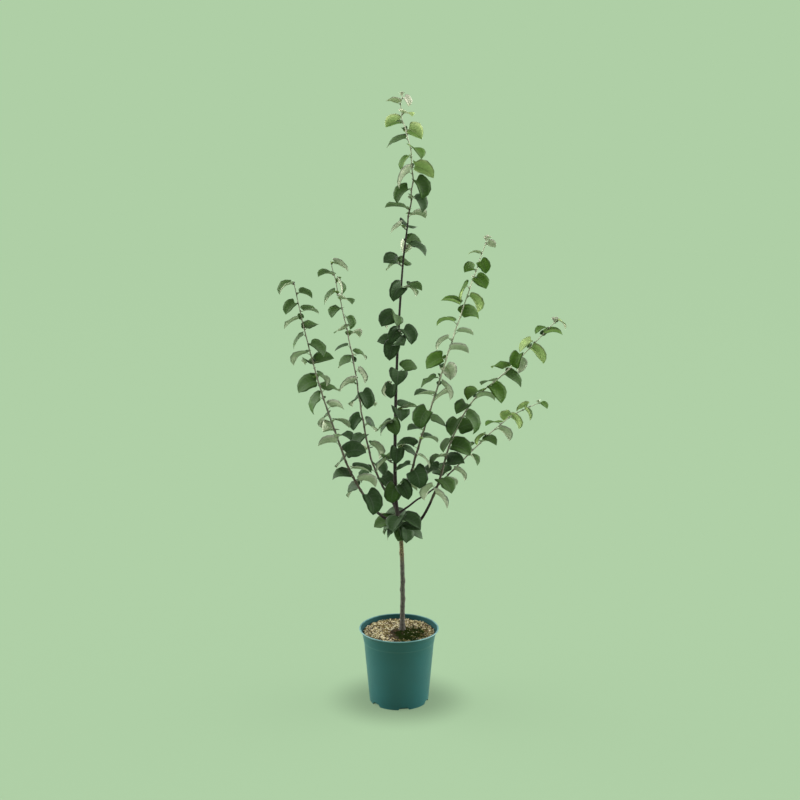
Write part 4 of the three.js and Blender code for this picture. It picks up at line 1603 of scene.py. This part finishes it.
def add_spur(shape, spur):
    line = spur["line"]
    line = np.vstack([line[0] + (line[0] - line[1]) * SPUR_LOOK["back"], line])
    line = fine_line(line, SPUR_LOOK["step"])
    shares = lengths_of(line) / lengths_of(line)[-1]
    depth, pace = SPUR_LOOK["rings"]
    radii = SPUR["radius"] * (1 - (1 - SPUR["taper"]) * shares) * (1 + depth * np.cos(shares * pace))
    radii[-1] *= SPUR_LOOK["tip"]
    tube(shape, line, radii, TWIG_SIDES, SPUR_LOOK["nominal"], age=np.full(len(line), SPUR_LOOK["age"]))


def add_stalk(shape, leaf, slot):
    """A leaf's stalk, and the rib that goes on from it under the blade."""
    root, base = leaf["root"], leaf["base"]
    sag = np.array([0.0, 0.0, STALK["sag"] * np.linalg.norm(base - root)])
    line = [mix(root, base, STALK["sunk"])]
    line += [mix(root, base, share) + sag for share in STALK["at"]] + [base]
    deep, rising = STALK["under"]
    line += [blade_point(leaf, along, 0, deep + rising * along) for along in STALK["rib_at"]]
    radii = np.array(STALK["radii"]) * max(0.5, min(1.0, leaf["length"] / FULL_LEAF))
    tube(shape, line, radii, STALK["sides"], STALK["nominal"], slot)


def make_twigs(sizes, plant):
    _, _, sprays, spurs = plant
    bark = bark_material("twig_bark", sizes.twig_pale, sizes.twig_dark, sizes.twig_tip, 0.7)
    stalk = mottled("stalks", opaque(sizes.stalk), opaque(sizes.stalk, 0.6), 0.55, 60.0, 900.0, 0.0001)
    shape = Shape()
    for spray in sprays:
        add_shoot(shape, spray, sizes.ring_step)
    for spur in spurs:
        add_spur(shape, spur)
    for group in sprays + spurs:
        for leaf in group["leaves"] + group["small"]:
            add_stalk(shape, leaf, 1)
    twigs = shape.make("twigs", [bark, stalk])
    names = [f"foliage_{group['name']}" for group in sprays + spurs]
    finished(twigs, "bark", *names)


def drawn_angles(chance, ranges):
    """An angle for each part, between its two ends in degrees."""
    return {part: math.radians(chance.uniform(*ends)) for part, ends in ranges.items()}


def axil_leaves(groups):
    """Small young leaves that sprout beside some of the large ones, kept with their own spray or spur."""
    chance = random.Random(AXIL["seed"])
    for group in groups:
        group["small"] = []
        for leaf in group["leaves"]:
            if chance.random() > AXIL["share"]:
                continue
            heading = leaf["heading"] + chance.choice((-1, 1)) * chance.uniform(*AXIL["turn"])
            rise = math.radians(chance.uniform(*AXIL["rise"]))
            way = np.array([math.cos(heading), math.sin(heading), math.tan(rise)])
            group["small"].append({
                "root": leaf["root"],
                "base": leaf["root"] + unit(way) * chance.uniform(*AXIL["stalk"]),
                "heading": heading,
                "length": chance.uniform(*AXIL["lengths"]),
                "rise": rise,
                **drawn_angles(chance, AXIL["angles"]),
            })


# Leaves
LEAF_TURNS = (8, 20, 36, 54, 73, 93, 112, 130, 147, 162)
# The source's margin with a deeper notch at the base and a finer tip
HEART = {"half_width": 0.5, "lobe": 0.15, "bluntness": 0.62, "sharpness": 2.0}
ACROSS = (-1.0, -0.58, 0.0, 0.58, 1.0)
# How a blade's margin waves up and down and in and out, how the blade flattens, and how a few are bitten
BLADE = {
    "wave": (0.3, 1.5),
    "waves": (1.5, 2.0, 2.5),
    "other_side": 1.3,
    "ragged": (0.025, 0.21),
    "flatter": -0.12,
    "bitten": 0.1,
    "bite_rows": (3, 7),
    "bite": 0.72,
}
TONES = ("dark", "mid", "bright", "young", "woolly")
WOOLLY = TONES.index("woolly")
WOOLLY_RELIEF = 0.00003
# For tops and undersides: which grey the veins and the margin take on and by what share, how much lighter the
# veins are, the roughness, the relief in metres, and how strongly the veins show
LOOKS = (
    {"prefix": "leaf_", "vein": (0.5, 0.22), "lighter": 1.0, "edge": (0.55, 0.34), "roughness": 0.56,
     "relief": 0.00012, "veining": 0.2},
    {"prefix": "leaf_under_", "vein": (0.0, 0.0), "lighter": 1.35, "edge": (0.72, 0.4), "roughness": 0.72,
     "relief": 0.0002, "veining": 0.5},
)


def add_leaf(shape, leaf, tone, thickness, chance):
    """One blade of the source's rule with more faces: top and underside are closed along the margin."""
    wave = chance.uniform(*BLADE["wave"]) * leaf["length"] / FULL_LEAF
    phase = chance.uniform(0, 6.28)
    waves = chance.choice(BLADE["waves"])
    bitten = chance.random() < BLADE["bitten"]
    bite_row, bite_side = chance.randrange(*BLADE["bite_rows"]), chance.choice((-1, 1))
    depth, pace = BLADE["ragged"]
    rows, columns = len(LEAF_TURNS), len(ACROSS)
    tops, lows = {}, {}
    for j, turn in enumerate(LEAF_TURNS):
        along, width, passed = margin(turn, HEART)
        for k, share in enumerate(ACROSS):
            out = abs(share)
            reach = width * (1 + depth * math.sin(turn * pace + phase))
            if bitten and j == bite_row and share * bite_side > 0.5:
                reach *= BLADE["bite"]
            across = share * reach * leaf["length"]
            swing = waves * math.pi * passed * 2 + phase + (BLADE["other_side"] if share < 0 else 0)
            lift = BLADE["flatter"] * abs(across) * math.sin(leaf["fold"]) * out
            lift += wave * out * out * math.sin(swing)
            place = mix(passed, along, out)
            tops[j, k] = blade_point(leaf, place, across, lift + thickness / 2)
            lows[j, k] = blade_point(leaf, place, across, lift - thickness / 2)
    points = [blade_point(leaf, 0, 0, 0), blade_point(leaf, 1, 0, 0)]
    top_at, low_at = {}, {}
    for (j, k), top in tops.items():
        top_at[j, k] = len(points)
        if k in (0, columns - 1):
            low_at[j, k] = len(points)
            top = (top + lows[j, k]) / 2
        points.append(top)
    for spot, low in lows.items():
        if spot not in low_at:
            low_at[spot] = len(points)
            points.append(low)

    def corner(at, j, k):
        return at[j, k], ((ACROSS[k] + 1) / 2, margin(LEAF_TURNS[j])[2])

    faces, slots, uvs = [], [], []
    for at, slot, turned in ((top_at, tone, False), (low_at, tone + len(TONES), True)):
        for k in range(columns - 1):
            found = [
                [(0, (0.5, 0.0)), corner(at, 0, k), corner(at, 0, k + 1)],
                [corner(at, rows - 1, k), (1, (0.5, 1.0)), corner(at, rows - 1, k + 1)],
            ]
            for j in range(rows - 1):
                corners = ((j, k), (j + 1, k), (j + 1, k + 1), (j, k + 1))
                found.append([corner(at, *spot) for spot in corners])
            for face in found:
                if turned:
                    face = face[:1] + face[:0:-1]
                faces.append(tuple(point for point, _ in face))
                uvs.append([place for _, place in face])
                slots.append(slot)
    shape.add(points, faces, slots, uvs)


# Each shoot's leaves turn to mid, bright and young green and to woolly white about these shares of its length
SPRAY_GREENS = {
    "left_outer": (0.45, 1.3, 2.0, 2.0),
    "left_inner": (0.5, 1.3, 2.0, 2.0),
    "right_inner": (0.25, 0.55, 0.9, 1.06),
    "right_outer": (0.15, 0.66, 0.95, 1.2),
    "right_low": (0.1, 0.62, 0.94, 1.2),
    "leader": (0.1, 0.5, 0.84, 1.06),
}
SPUR_GREENS = (0.08, 0.9, 2.0, 2.0)
TONE_SPREAD = 0.16


def leaf_tone(group, leaf, chance):
    """Which green a leaf has: its shoot's own at that place, give or take a little."""
    place = leaf["share"] + chance.uniform(-TONE_SPREAD, TONE_SPREAD)
    return sum(place > start for start in SPRAY_GREENS.get(group["name"], SPUR_GREENS))


def leaf_finishes(sizes):
    """A finish for the top of every tone, then one for its underside."""
    tops = (sizes.green_dark, sizes.green_mid, sizes.green_bright, sizes.green_young, sizes.woolly)
    unders = (sizes.under_old, sizes.under_old, sizes.under_bright, sizes.under_young, sizes.woolly)
    finishes = []
    for colors, look in zip((tops, unders), LOOKS):
        for tone, color in zip(TONES, colors):
            vein = [mix(channel, *look["vein"]) * look["lighter"] for channel in color]
            edge = [mix(channel, *look["edge"]) for channel in color]
            relief = WOOLLY_RELIEF if tone == "woolly" else look["relief"]
            name = look["prefix"] + tone
            finish = leaf_material(name, color, vein, edge, look["roughness"], relief, look["veining"])
            finishes.append(finish)
    return finishes


# The shoots with a tuft of small upright young leaves at their very end, and how its leaves stand
TUFTS = ("leader", "right_inner", "right_outer")
TUFT = {
    "leaves": 4,
    "first_turn": 1.2,
    "turn": 2.4,
    "back": (1.5, 2.0),
    "lengths": (7, 11),
    "longer": 1.5,
    "rise": (62, 78),
    "lower": 7,
    "angles": {"arch": (18, 40), "fold": (40, 58), "roll": (-20, 20)},
    "over_top": 4,
    "shortest": 4.0,
}


def add_tip_tuft(shape, group, thickness, chance):
    line = group["line"]
    ahead = unit(line[-1] - line[-3])
    first, step = TUFT["back"]
    for i in range(TUFT["leaves"]):
        heading = TUFT["first_turn"] + i * TUFT["turn"]
        flat = np.array([math.cos(heading), math.sin(heading), 0.0])
        root = line[-1] - ahead * (first + step * i)
        leaf = {
            "root": root,
            "base": root + unit(ahead * 1.4 + flat) * 2.0,
            "heading": heading,
            "length": chance.uniform(*TUFT["lengths"]) + TUFT["longer"] * i,
            "rise": math.radians(chance.uniform(*TUFT["rise"]) - TUFT["lower"] * i),
            **drawn_angles(chance, TUFT["angles"]),
        }
        room = TREE_TOP + TUFT["over_top"] - leaf["base"][2]
        if leaf["length"] > room:
            leaf["length"] = max(TUFT["shortest"], room)
        add_leaf(shape, leaf, WOOLLY, thickness, chance)


def make_leaves(sizes, plant):
    _, _, sprays, spurs = plant
    finishes = leaf_finishes(sizes)
    shape = Shape()
    chance = random.Random(5)
    thickness = sizes.thickness / MM
    for group in sprays + spurs:
        for leaf in group["leaves"]:
            add_leaf(shape, leaf, leaf_tone(group, leaf, chance), thickness, chance)
        for leaf in group["small"]:
            add_leaf(shape, leaf, chance.choice(AXIL["tones"]), thickness, chance)
        if group["name"] in TUFTS:
            add_tip_tuft(shape, group, thickness, chance)
    finished(shape.make("leaves", finishes), "leaves")


# Buds and stipules at the leaves' feet: the length, width and flatness of each, in metres
BUD_SIZES = (0.0042, 0.0022, 0.85)
STIPULE_SIZES = (0.0056, 0.0024, 0.28)


def bud_places(groups, sprays):
    """The root, aim and size of every bud and of every stipule."""
    buds, stipules = [], []
    for group in groups:
        line = group["line"]
        for leaf in group["leaves"]:
            near = int(np.argmin(np.linalg.norm(line - leaf["root"], axis=1)))
            ahead = unit(line[min(near + 1, len(line) - 1)] - line[max(near - 1, 0)])
            away = unit(leaf["base"] - leaf["root"])
            size = 0.7 + 0.5 * leaf["length"] / FULL_LEAF
            buds.append((leaf["root"] + ahead * 1.4 + away * 0.9, unit(ahead + away * 0.7), size))
            across = unit(np.cross(ahead, away))
            for way in (-1, 1):
                aim = unit(away * 0.7 + across * way * 0.9 + ahead * 0.35)
                stipules.append((leaf["root"] + across * way * 0.8, aim, size * (0.7 + 0.5 * leaf["young"])))
        if group in sprays:
            ahead = unit(line[-1] - line[-2])
            buds.append((line[-1] - ahead * 0.5, ahead, 0.9))
    return buds, stipules


def make_buds(sizes, plant):
    _, _, sprays, spurs = plant
    buds, stipules = bud_places(sprays + spurs, sprays)
    tree = shared_group("bud_points", build_buds)
    kinds = (
        ("buds", "bud_scales", sizes.bud, 0.55, BUD_SIZES, buds),
        ("stipules", "stipules", sizes.stipule, 0.6, STIPULE_SIZES, stipules),
    )
    for name, label, color, roughness, lengths, spots in kinds:
        finish = mottled(label, opaque(color), opaque(color, 0.5), roughness, 80.0, 900.0, 0.0001)
        places, aims, scales = zip(*spots)
        mesh = bpy.data.meshes.new(name + "_points")
        mesh.from_pydata([tuple(place * MM) for place in places], [], [])
        add_values(mesh, "aim", aims, "FLOAT_VECTOR")
        add_values(mesh, "size", scales)
        values = dict(zip(("Length", "Width", "Flatness", "Material"), (*lengths, finish)))
        finished(run_nodes(placed(name + "_points", mesh), tree, values, name), "bark")


# Stage. The floor glows in the backdrop's colour, dimmed round the pot's foot: a soft painted shadow, and no
# horizon
GLOW = {"share": 0.75, "far": (2.0, 9.0), "in_painted_shadow": 0.58, "painted_shadow_reach": (0.075, 0.205)}
FLOOR_RINGS = (1.0, 4.0, 16.0)
FLOOR_SEGMENTS = 64
# The suns' spread, tilt and turn, in degrees
KEY_SUN = (34.0, -38.0, 30.0)
RIM_SUN = (30.0, -48.0, -120.0)


def make_floor(stage):
    radii = (*FLOOR_RINGS, stage.floor_radius)
    points = [(0.0, 0.0, 0.0)]
    for radius in radii:
        points += [(x, y, 0.0) for x, y in circle(radius, FLOOR_SEGMENTS)]
    floor = bpy.data.meshes.new("floor")
    floor.from_pydata(points, [], disc_faces(len(radii), FLOOR_SEGMENTS))
    plain, graph, shader = new_material("studio_floor", 0.95, 0.0)
    shader["Base Color"].default_value = opaque(stage.floor_color)
    place = graph.node("ShaderNodeTexCoord").outputs["Object"]
    off = graph.node("ShaderNodeVectorMath", {0: place}, operation="LENGTH").outputs["Value"]
    share = graph.fit(off, *GLOW["far"], GLOW["share"], 1.0)
    # A painted shadow: the floor's glow is dimmed round the pot's foot
    painted_shadow = graph.fit(off, *GLOW["painted_shadow_reach"], GLOW["in_painted_shadow"], 1.0)
    glow = graph.first("ShaderNodeEmission", {"Color": opaque(stage.backdrop_color), "Strength": painted_shadow})
    surface = plain.node_tree.nodes["Principled BSDF"].outputs[0]
    joined = graph.first("ShaderNodeMixShader", {0: share, 1: surface, 2: glow})
    graph.link(joined, plain.node_tree.nodes["Material Output"].inputs["Surface"])
    floor.materials.append(plain)
    ground = placed("floor", floor)


def make_world(stage):
    """Soft light from both sides, above and all round; the camera sees the backdrop's colour alone."""
    world = bpy.data.worlds.new("studio")
    world.use_nodes = True
    bpy.context.scene.world = world
    graph = Graph(world.node_tree)
    for node in list(world.node_tree.nodes):
        world.node_tree.nodes.remove(node)
    way = graph.node("ShaderNodeTexCoord").outputs["Generated"]
    split = graph.node("ShaderNodeSeparateXYZ", {0: way}).outputs
    facing = graph.times(graph.math("ABSOLUTE", split[0]), math.cos(stage.side_turn))
    facing = graph.plus(facing, graph.times(split[1], math.sin(stage.side_turn)))
    sides = graph.math("POWER", graph.math("MAXIMUM", facing, 0.0), stage.side_focus)
    sides = graph.times(sides, stage.side_light)
    up = graph.times(graph.math("MAXIMUM", split[2], 0.0), stage.top_light)
    strength = graph.plus(graph.plus(sides, up), stage.fill_light)
    white, backdrop = (1.0, 1.0, 1.0, 1.0), opaque(stage.backdrop_color)
    dome = graph.first("ShaderNodeBackground", {"Color": white, "Strength": strength})
    seen = graph.first("ShaderNodeBackground", {"Color": backdrop, "Strength": 1.0})
    path = graph.node("ShaderNodeLightPath").outputs["Is Camera Ray"]
    mixed = graph.first("ShaderNodeMixShader", {0: path, 1: dome, 2: seen})
    graph.node("ShaderNodeOutputWorld", {"Surface": mixed})


def make_sun(name, power, spread, tilt, turn):
    light = bpy.data.lights.new(name, "SUN")
    light.energy = power
    light.angle = math.radians(spread)
    lamp = placed(name, light)
    lamp.rotation_euler = (math.radians(-tilt), 0.0, math.radians(turn))


def make_camera(stage):
    camera = bpy.data.cameras.new("camera")
    camera.lens = stage.lens
    camera.sensor_width = 36.0
    camera.clip_end = 500.0
    eye = placed("camera", camera)
    eye.location = stage.camera_place
    eye.rotation_euler = (math.pi / 2 - stage.camera_tilt, 0.0, 0.0)
    bpy.context.scene.camera = eye


def make_stage(stage):
    view = bpy.context.scene.view_settings
    view.view_transform = "Standard"
    view.look = "None"
    make_floor(stage)
    make_world(stage)
    make_sun("key_light", stage.key_strength, *KEY_SUN)
    make_sun("rim_light", stage.rim_strength, *RIM_SUN)
    make_camera(stage)


# Settings
def colour(name, what, value):
    limits = {"size": 3, "min": 0.0, "max": 1.0, "subtype": "COLOR_GAMMA"}
    return bpy.props.FloatVectorProperty(name=name, description=f"Colour {what}", default=value, **limits)


def number(name, description, value, least=0.0, **more):
    return bpy.props.FloatProperty(name=name, description=description, default=value, min=least, **more)


def facets(name, description, value, least):
    return bpy.props.IntProperty(name=name, description=description, default=value, min=least)


def length(name, description, value):
    return number(name, description, value, unit="LENGTH", precision=5)


def angle(name, description, degrees):
    return number(name, description, math.radians(degrees), subtype="ANGLE", unit="ROTATION")


class QUINCE_PG_pot(bpy.types.PropertyGroup):
    plastic: colour("Plastic", "of the pot's moulded plastic", (0.005, 0.086, 0.092))
    # Darker than the plastic: painted shade inside the pot
    inside: colour("Inside", "of the pot's inner wall", (0.012, 0.062, 0.058))
    # The lip's paler colour is partly wear and partly a painted highlight
    lip: colour("Lip", "of the rubbed lip", (0.16, 0.36, 0.34))
    segments: facets("Segments", "Facets round the pot", 160, 24)


class QUINCE_PG_soil(bpy.types.PropertyGroup):
    straw: colour("Straw", "of the straw pieces", (0.84, 0.76, 0.43))
    tan: colour("Tan Chips", "of the tan wood chips", (0.30, 0.22, 0.08))
    beige: colour("Beige Chips", "of the pale wood chips", (0.90, 0.83, 0.58))
    olive: colour("Olive Fibre", "of the greenish fibre", (0.20, 0.19, 0.055))
    bark: colour("Bark Bits", "of the dark bark bits", (0.07, 0.045, 0.02))
    moss: colour("Moss", "of the moss by the stem", (0.026, 0.050, 0.004))
    chips: number("Chips", "Chips on a square metre", 150000.0)
    moss_blades: number("Moss Blades", "Blades of moss on a square metre", 900000.0)


class QUINCE_PG_wood(bpy.types.PropertyGroup):
    bark_pale: colour("Pale Bark", "of the bark's ridges", (0.152, 0.140, 0.114))
    bark_dark: colour("Dark Bark", "of the bark's cracks", (0.046, 0.044, 0.037))
    bark_brown: colour("Young Bark", "of the bark above the fork", (0.026, 0.017, 0.017))
    relief: length("Relief", "Height of the bark's relief", 0.0004)
    ring_step: number("Ring Step", "Millimetres between rings", 2.4, 0.5)
    stem_sides: facets("Stem Sides", "Facets round the stem", 26, 8)


class QUINCE_PG_twigs(bpy.types.PropertyGroup):
    twig_pale: colour("Pale Twig", "of the shoots' ridges", (0.14, 0.115, 0.09))
    twig_dark: colour("Dark Twig", "of the shoots' hollows", (0.055, 0.038, 0.03))
    twig_tip: colour("Twig Tip", "of the shoots' young ends", (0.66, 0.66, 0.50))
    stalk: colour("Stalks", "of the leaf stalks", (0.24, 0.26, 0.12))
    bud: colour("Buds", "of the bud scales", (0.09, 0.05, 0.035))
    stipule: colour("Stipules", "of the stipules", (0.07, 0.085, 0.04))
    ring_step: number("Ring Step", "Millimetres between rings", 3.0, 0.5)


class QUINCE_PG_leaves(bpy.types.PropertyGroup):
    green_dark: colour("Dark Green", "of the oldest leaves", (0.031, 0.066, 0.021))
    green_mid: colour("Mid Green", "of most leaves", (0.045, 0.096, 0.021))
    green_bright: colour("Bright Green", "of the leaves near the tips", (0.055, 0.124, 0.013))
    green_young: colour("Young Green", "of the tip leaves", (0.26, 0.37, 0.12))
    under_old: colour("Old Underside", "under the old leaves", (0.43, 0.47, 0.335))
    under_bright: colour("Bright Underside", "under the bright leaves", (0.36, 0.47, 0.18))
    under_young: colour("Young Underside", "under the tip leaves", (0.52, 0.54, 0.37))
    woolly: colour("Woolly", "of the woolly leaves at the very tips", (0.52, 0.54, 0.40))
    thickness: length("Thickness", "Thickness of a leaf", 0.0005)


class QUINCE_PG_stage(bpy.types.PropertyGroup):
    floor_color: colour("Floor", "of the studio floor", (0.294, 0.421, 0.260))
    backdrop_color: colour("Backdrop", "behind the plant", (0.429, 0.624, 0.381))
    floor_radius: number("Floor Radius", "Size of the floor", 200.0, unit="LENGTH")
    fill_light: number("Fill", "Even light from all round", 0.1)
    side_light: number("Sides", "Extra light from both sides", 10.0)
    top_light: number("Top", "Extra light from above", 0.5)
    side_focus: number("Side Focus", "How narrow the side lights are", 5.0, 1.0)
    side_turn: angle("Side Turn", "How far behind the plant the side lights stand", 12)
    key_strength: number("Key", "Strength of the soft key light", 0.3)
    rim_strength: number("Rim", "Strength of the rim light", 0.3)
    camera_place: bpy.props.FloatVectorProperty(
        name="Camera", description="Where the camera stands", default=(0.0025, -3.6, 1.59), size=3,
        subtype="XYZ", unit="LENGTH")
    camera_tilt: angle("Tilt", "How far the camera looks down", 12.79)
    lens: number("Lens", "Focal length in millimetres", 68.79, 10.0)


GROUPS = {
    "quince_pot": QUINCE_PG_pot,
    "quince_soil": QUINCE_PG_soil,
    "quince_wood": QUINCE_PG_wood,
    "quince_twigs": QUINCE_PG_twigs,
    "quince_leaves": QUINCE_PG_leaves,
    "quince_stage": QUINCE_PG_stage,
}
GROWN = {}


def grown():
    """The plant as the source's rule grows it, grown once."""
    if "plant" not in GROWN:
        GROWN["plant"] = grow_plant()
        axil_leaves(GROWN["plant"][2] + GROWN["plant"][3])
    return GROWN["plant"]


class QUINCE_OT_pot(bpy.types.Operator):
    """Make the nursery pot with its collar, lip and drain notches"""

    bl_idname = "quince.pot"
    bl_label = "Pot"

    def execute(self, context):
        make_pot(context.scene.quince_pot)
        return {"FINISHED"}


class QUINCE_OT_soil(bpy.types.Operator):
    """Fill the pot and strew its mulch and moss"""

    bl_idname = "quince.soil"
    bl_label = "Soil and Mulch"

    def execute(self, context):
        make_soil(context.scene.quince_soil)
        return {"FINISHED"}


class QUINCE_OT_wood(bpy.types.Operator):
    """Grow the stem and the five bare boughs with their bark"""

    bl_idname = "quince.wood"
    bl_label = "Stem and Boughs"

    def execute(self, context):
        make_wood(context.scene.quince_wood, grown())
        return {"FINISHED"}


class QUINCE_OT_twigs(bpy.types.Operator):
    """Grow the shoots, spurs, leaf stalks, buds and stipules"""

    bl_idname = "quince.twigs"
    bl_label = "Twigs and Buds"

    def execute(self, context):
        make_twigs(context.scene.quince_twigs, grown())
        make_buds(context.scene.quince_twigs, grown())
        return {"FINISHED"}


class QUINCE_OT_leaves(bpy.types.Operator):
    """Grow every leaf of the crown"""

    bl_idname = "quince.leaves"
    bl_label = "Leaves"

    def execute(self, context):
        make_leaves(context.scene.quince_leaves, grown())
        return {"FINISHED"}


class QUINCE_OT_stage(bpy.types.Operator):
    """Set up the floor, the soft light and the camera"""

    bl_idname = "quince.stage"
    bl_label = "Stage"

    def execute(self, context):
        make_stage(context.scene.quince_stage)
        return {"FINISHED"}


OPERATORS = (
    QUINCE_OT_pot, QUINCE_OT_soil, QUINCE_OT_wood, QUINCE_OT_twigs, QUINCE_OT_leaves, QUINCE_OT_stage)


class QUINCE_PT_panel(bpy.types.Panel):
    """Lists the plant's pieces and their sizes and colours"""

    bl_idname = "QUINCE_PT_panel"
    bl_label = "Potted Quince Tree"
    bl_space_type = "VIEW_3D"
    bl_region_type = "UI"
    bl_category = "Quince"

    def draw(self, context):
        for operator, name in zip(OPERATORS, GROUPS):
            box = self.layout.box()
            box.operator(operator.bl_idname)
            settings = getattr(context.scene, name)
            for field in settings.bl_rna.properties:
                if field.identifier not in ("rna_type", "name"):
                    box.prop(settings, field.identifier)


CLASSES = (*GROUPS.values(), *OPERATORS, QUINCE_PT_panel)


def register():
    for kind in CLASSES:
        bpy.utils.register_class(kind)
    for name, kind in GROUPS.items():
        setattr(bpy.types.Scene, name, bpy.props.PointerProperty(type=kind))


def unregister():
    for name in GROUPS:
        delattr(bpy.types.Scene, name)
    for kind in reversed(CLASSES):
        bpy.utils.unregister_class(kind)


def main():
    register()
    for name in ("pot", "soil", "wood", "twigs", "leaves", "stage"):
        getattr(bpy.ops.quince, name)()


if __name__ == "__main__":
    main()
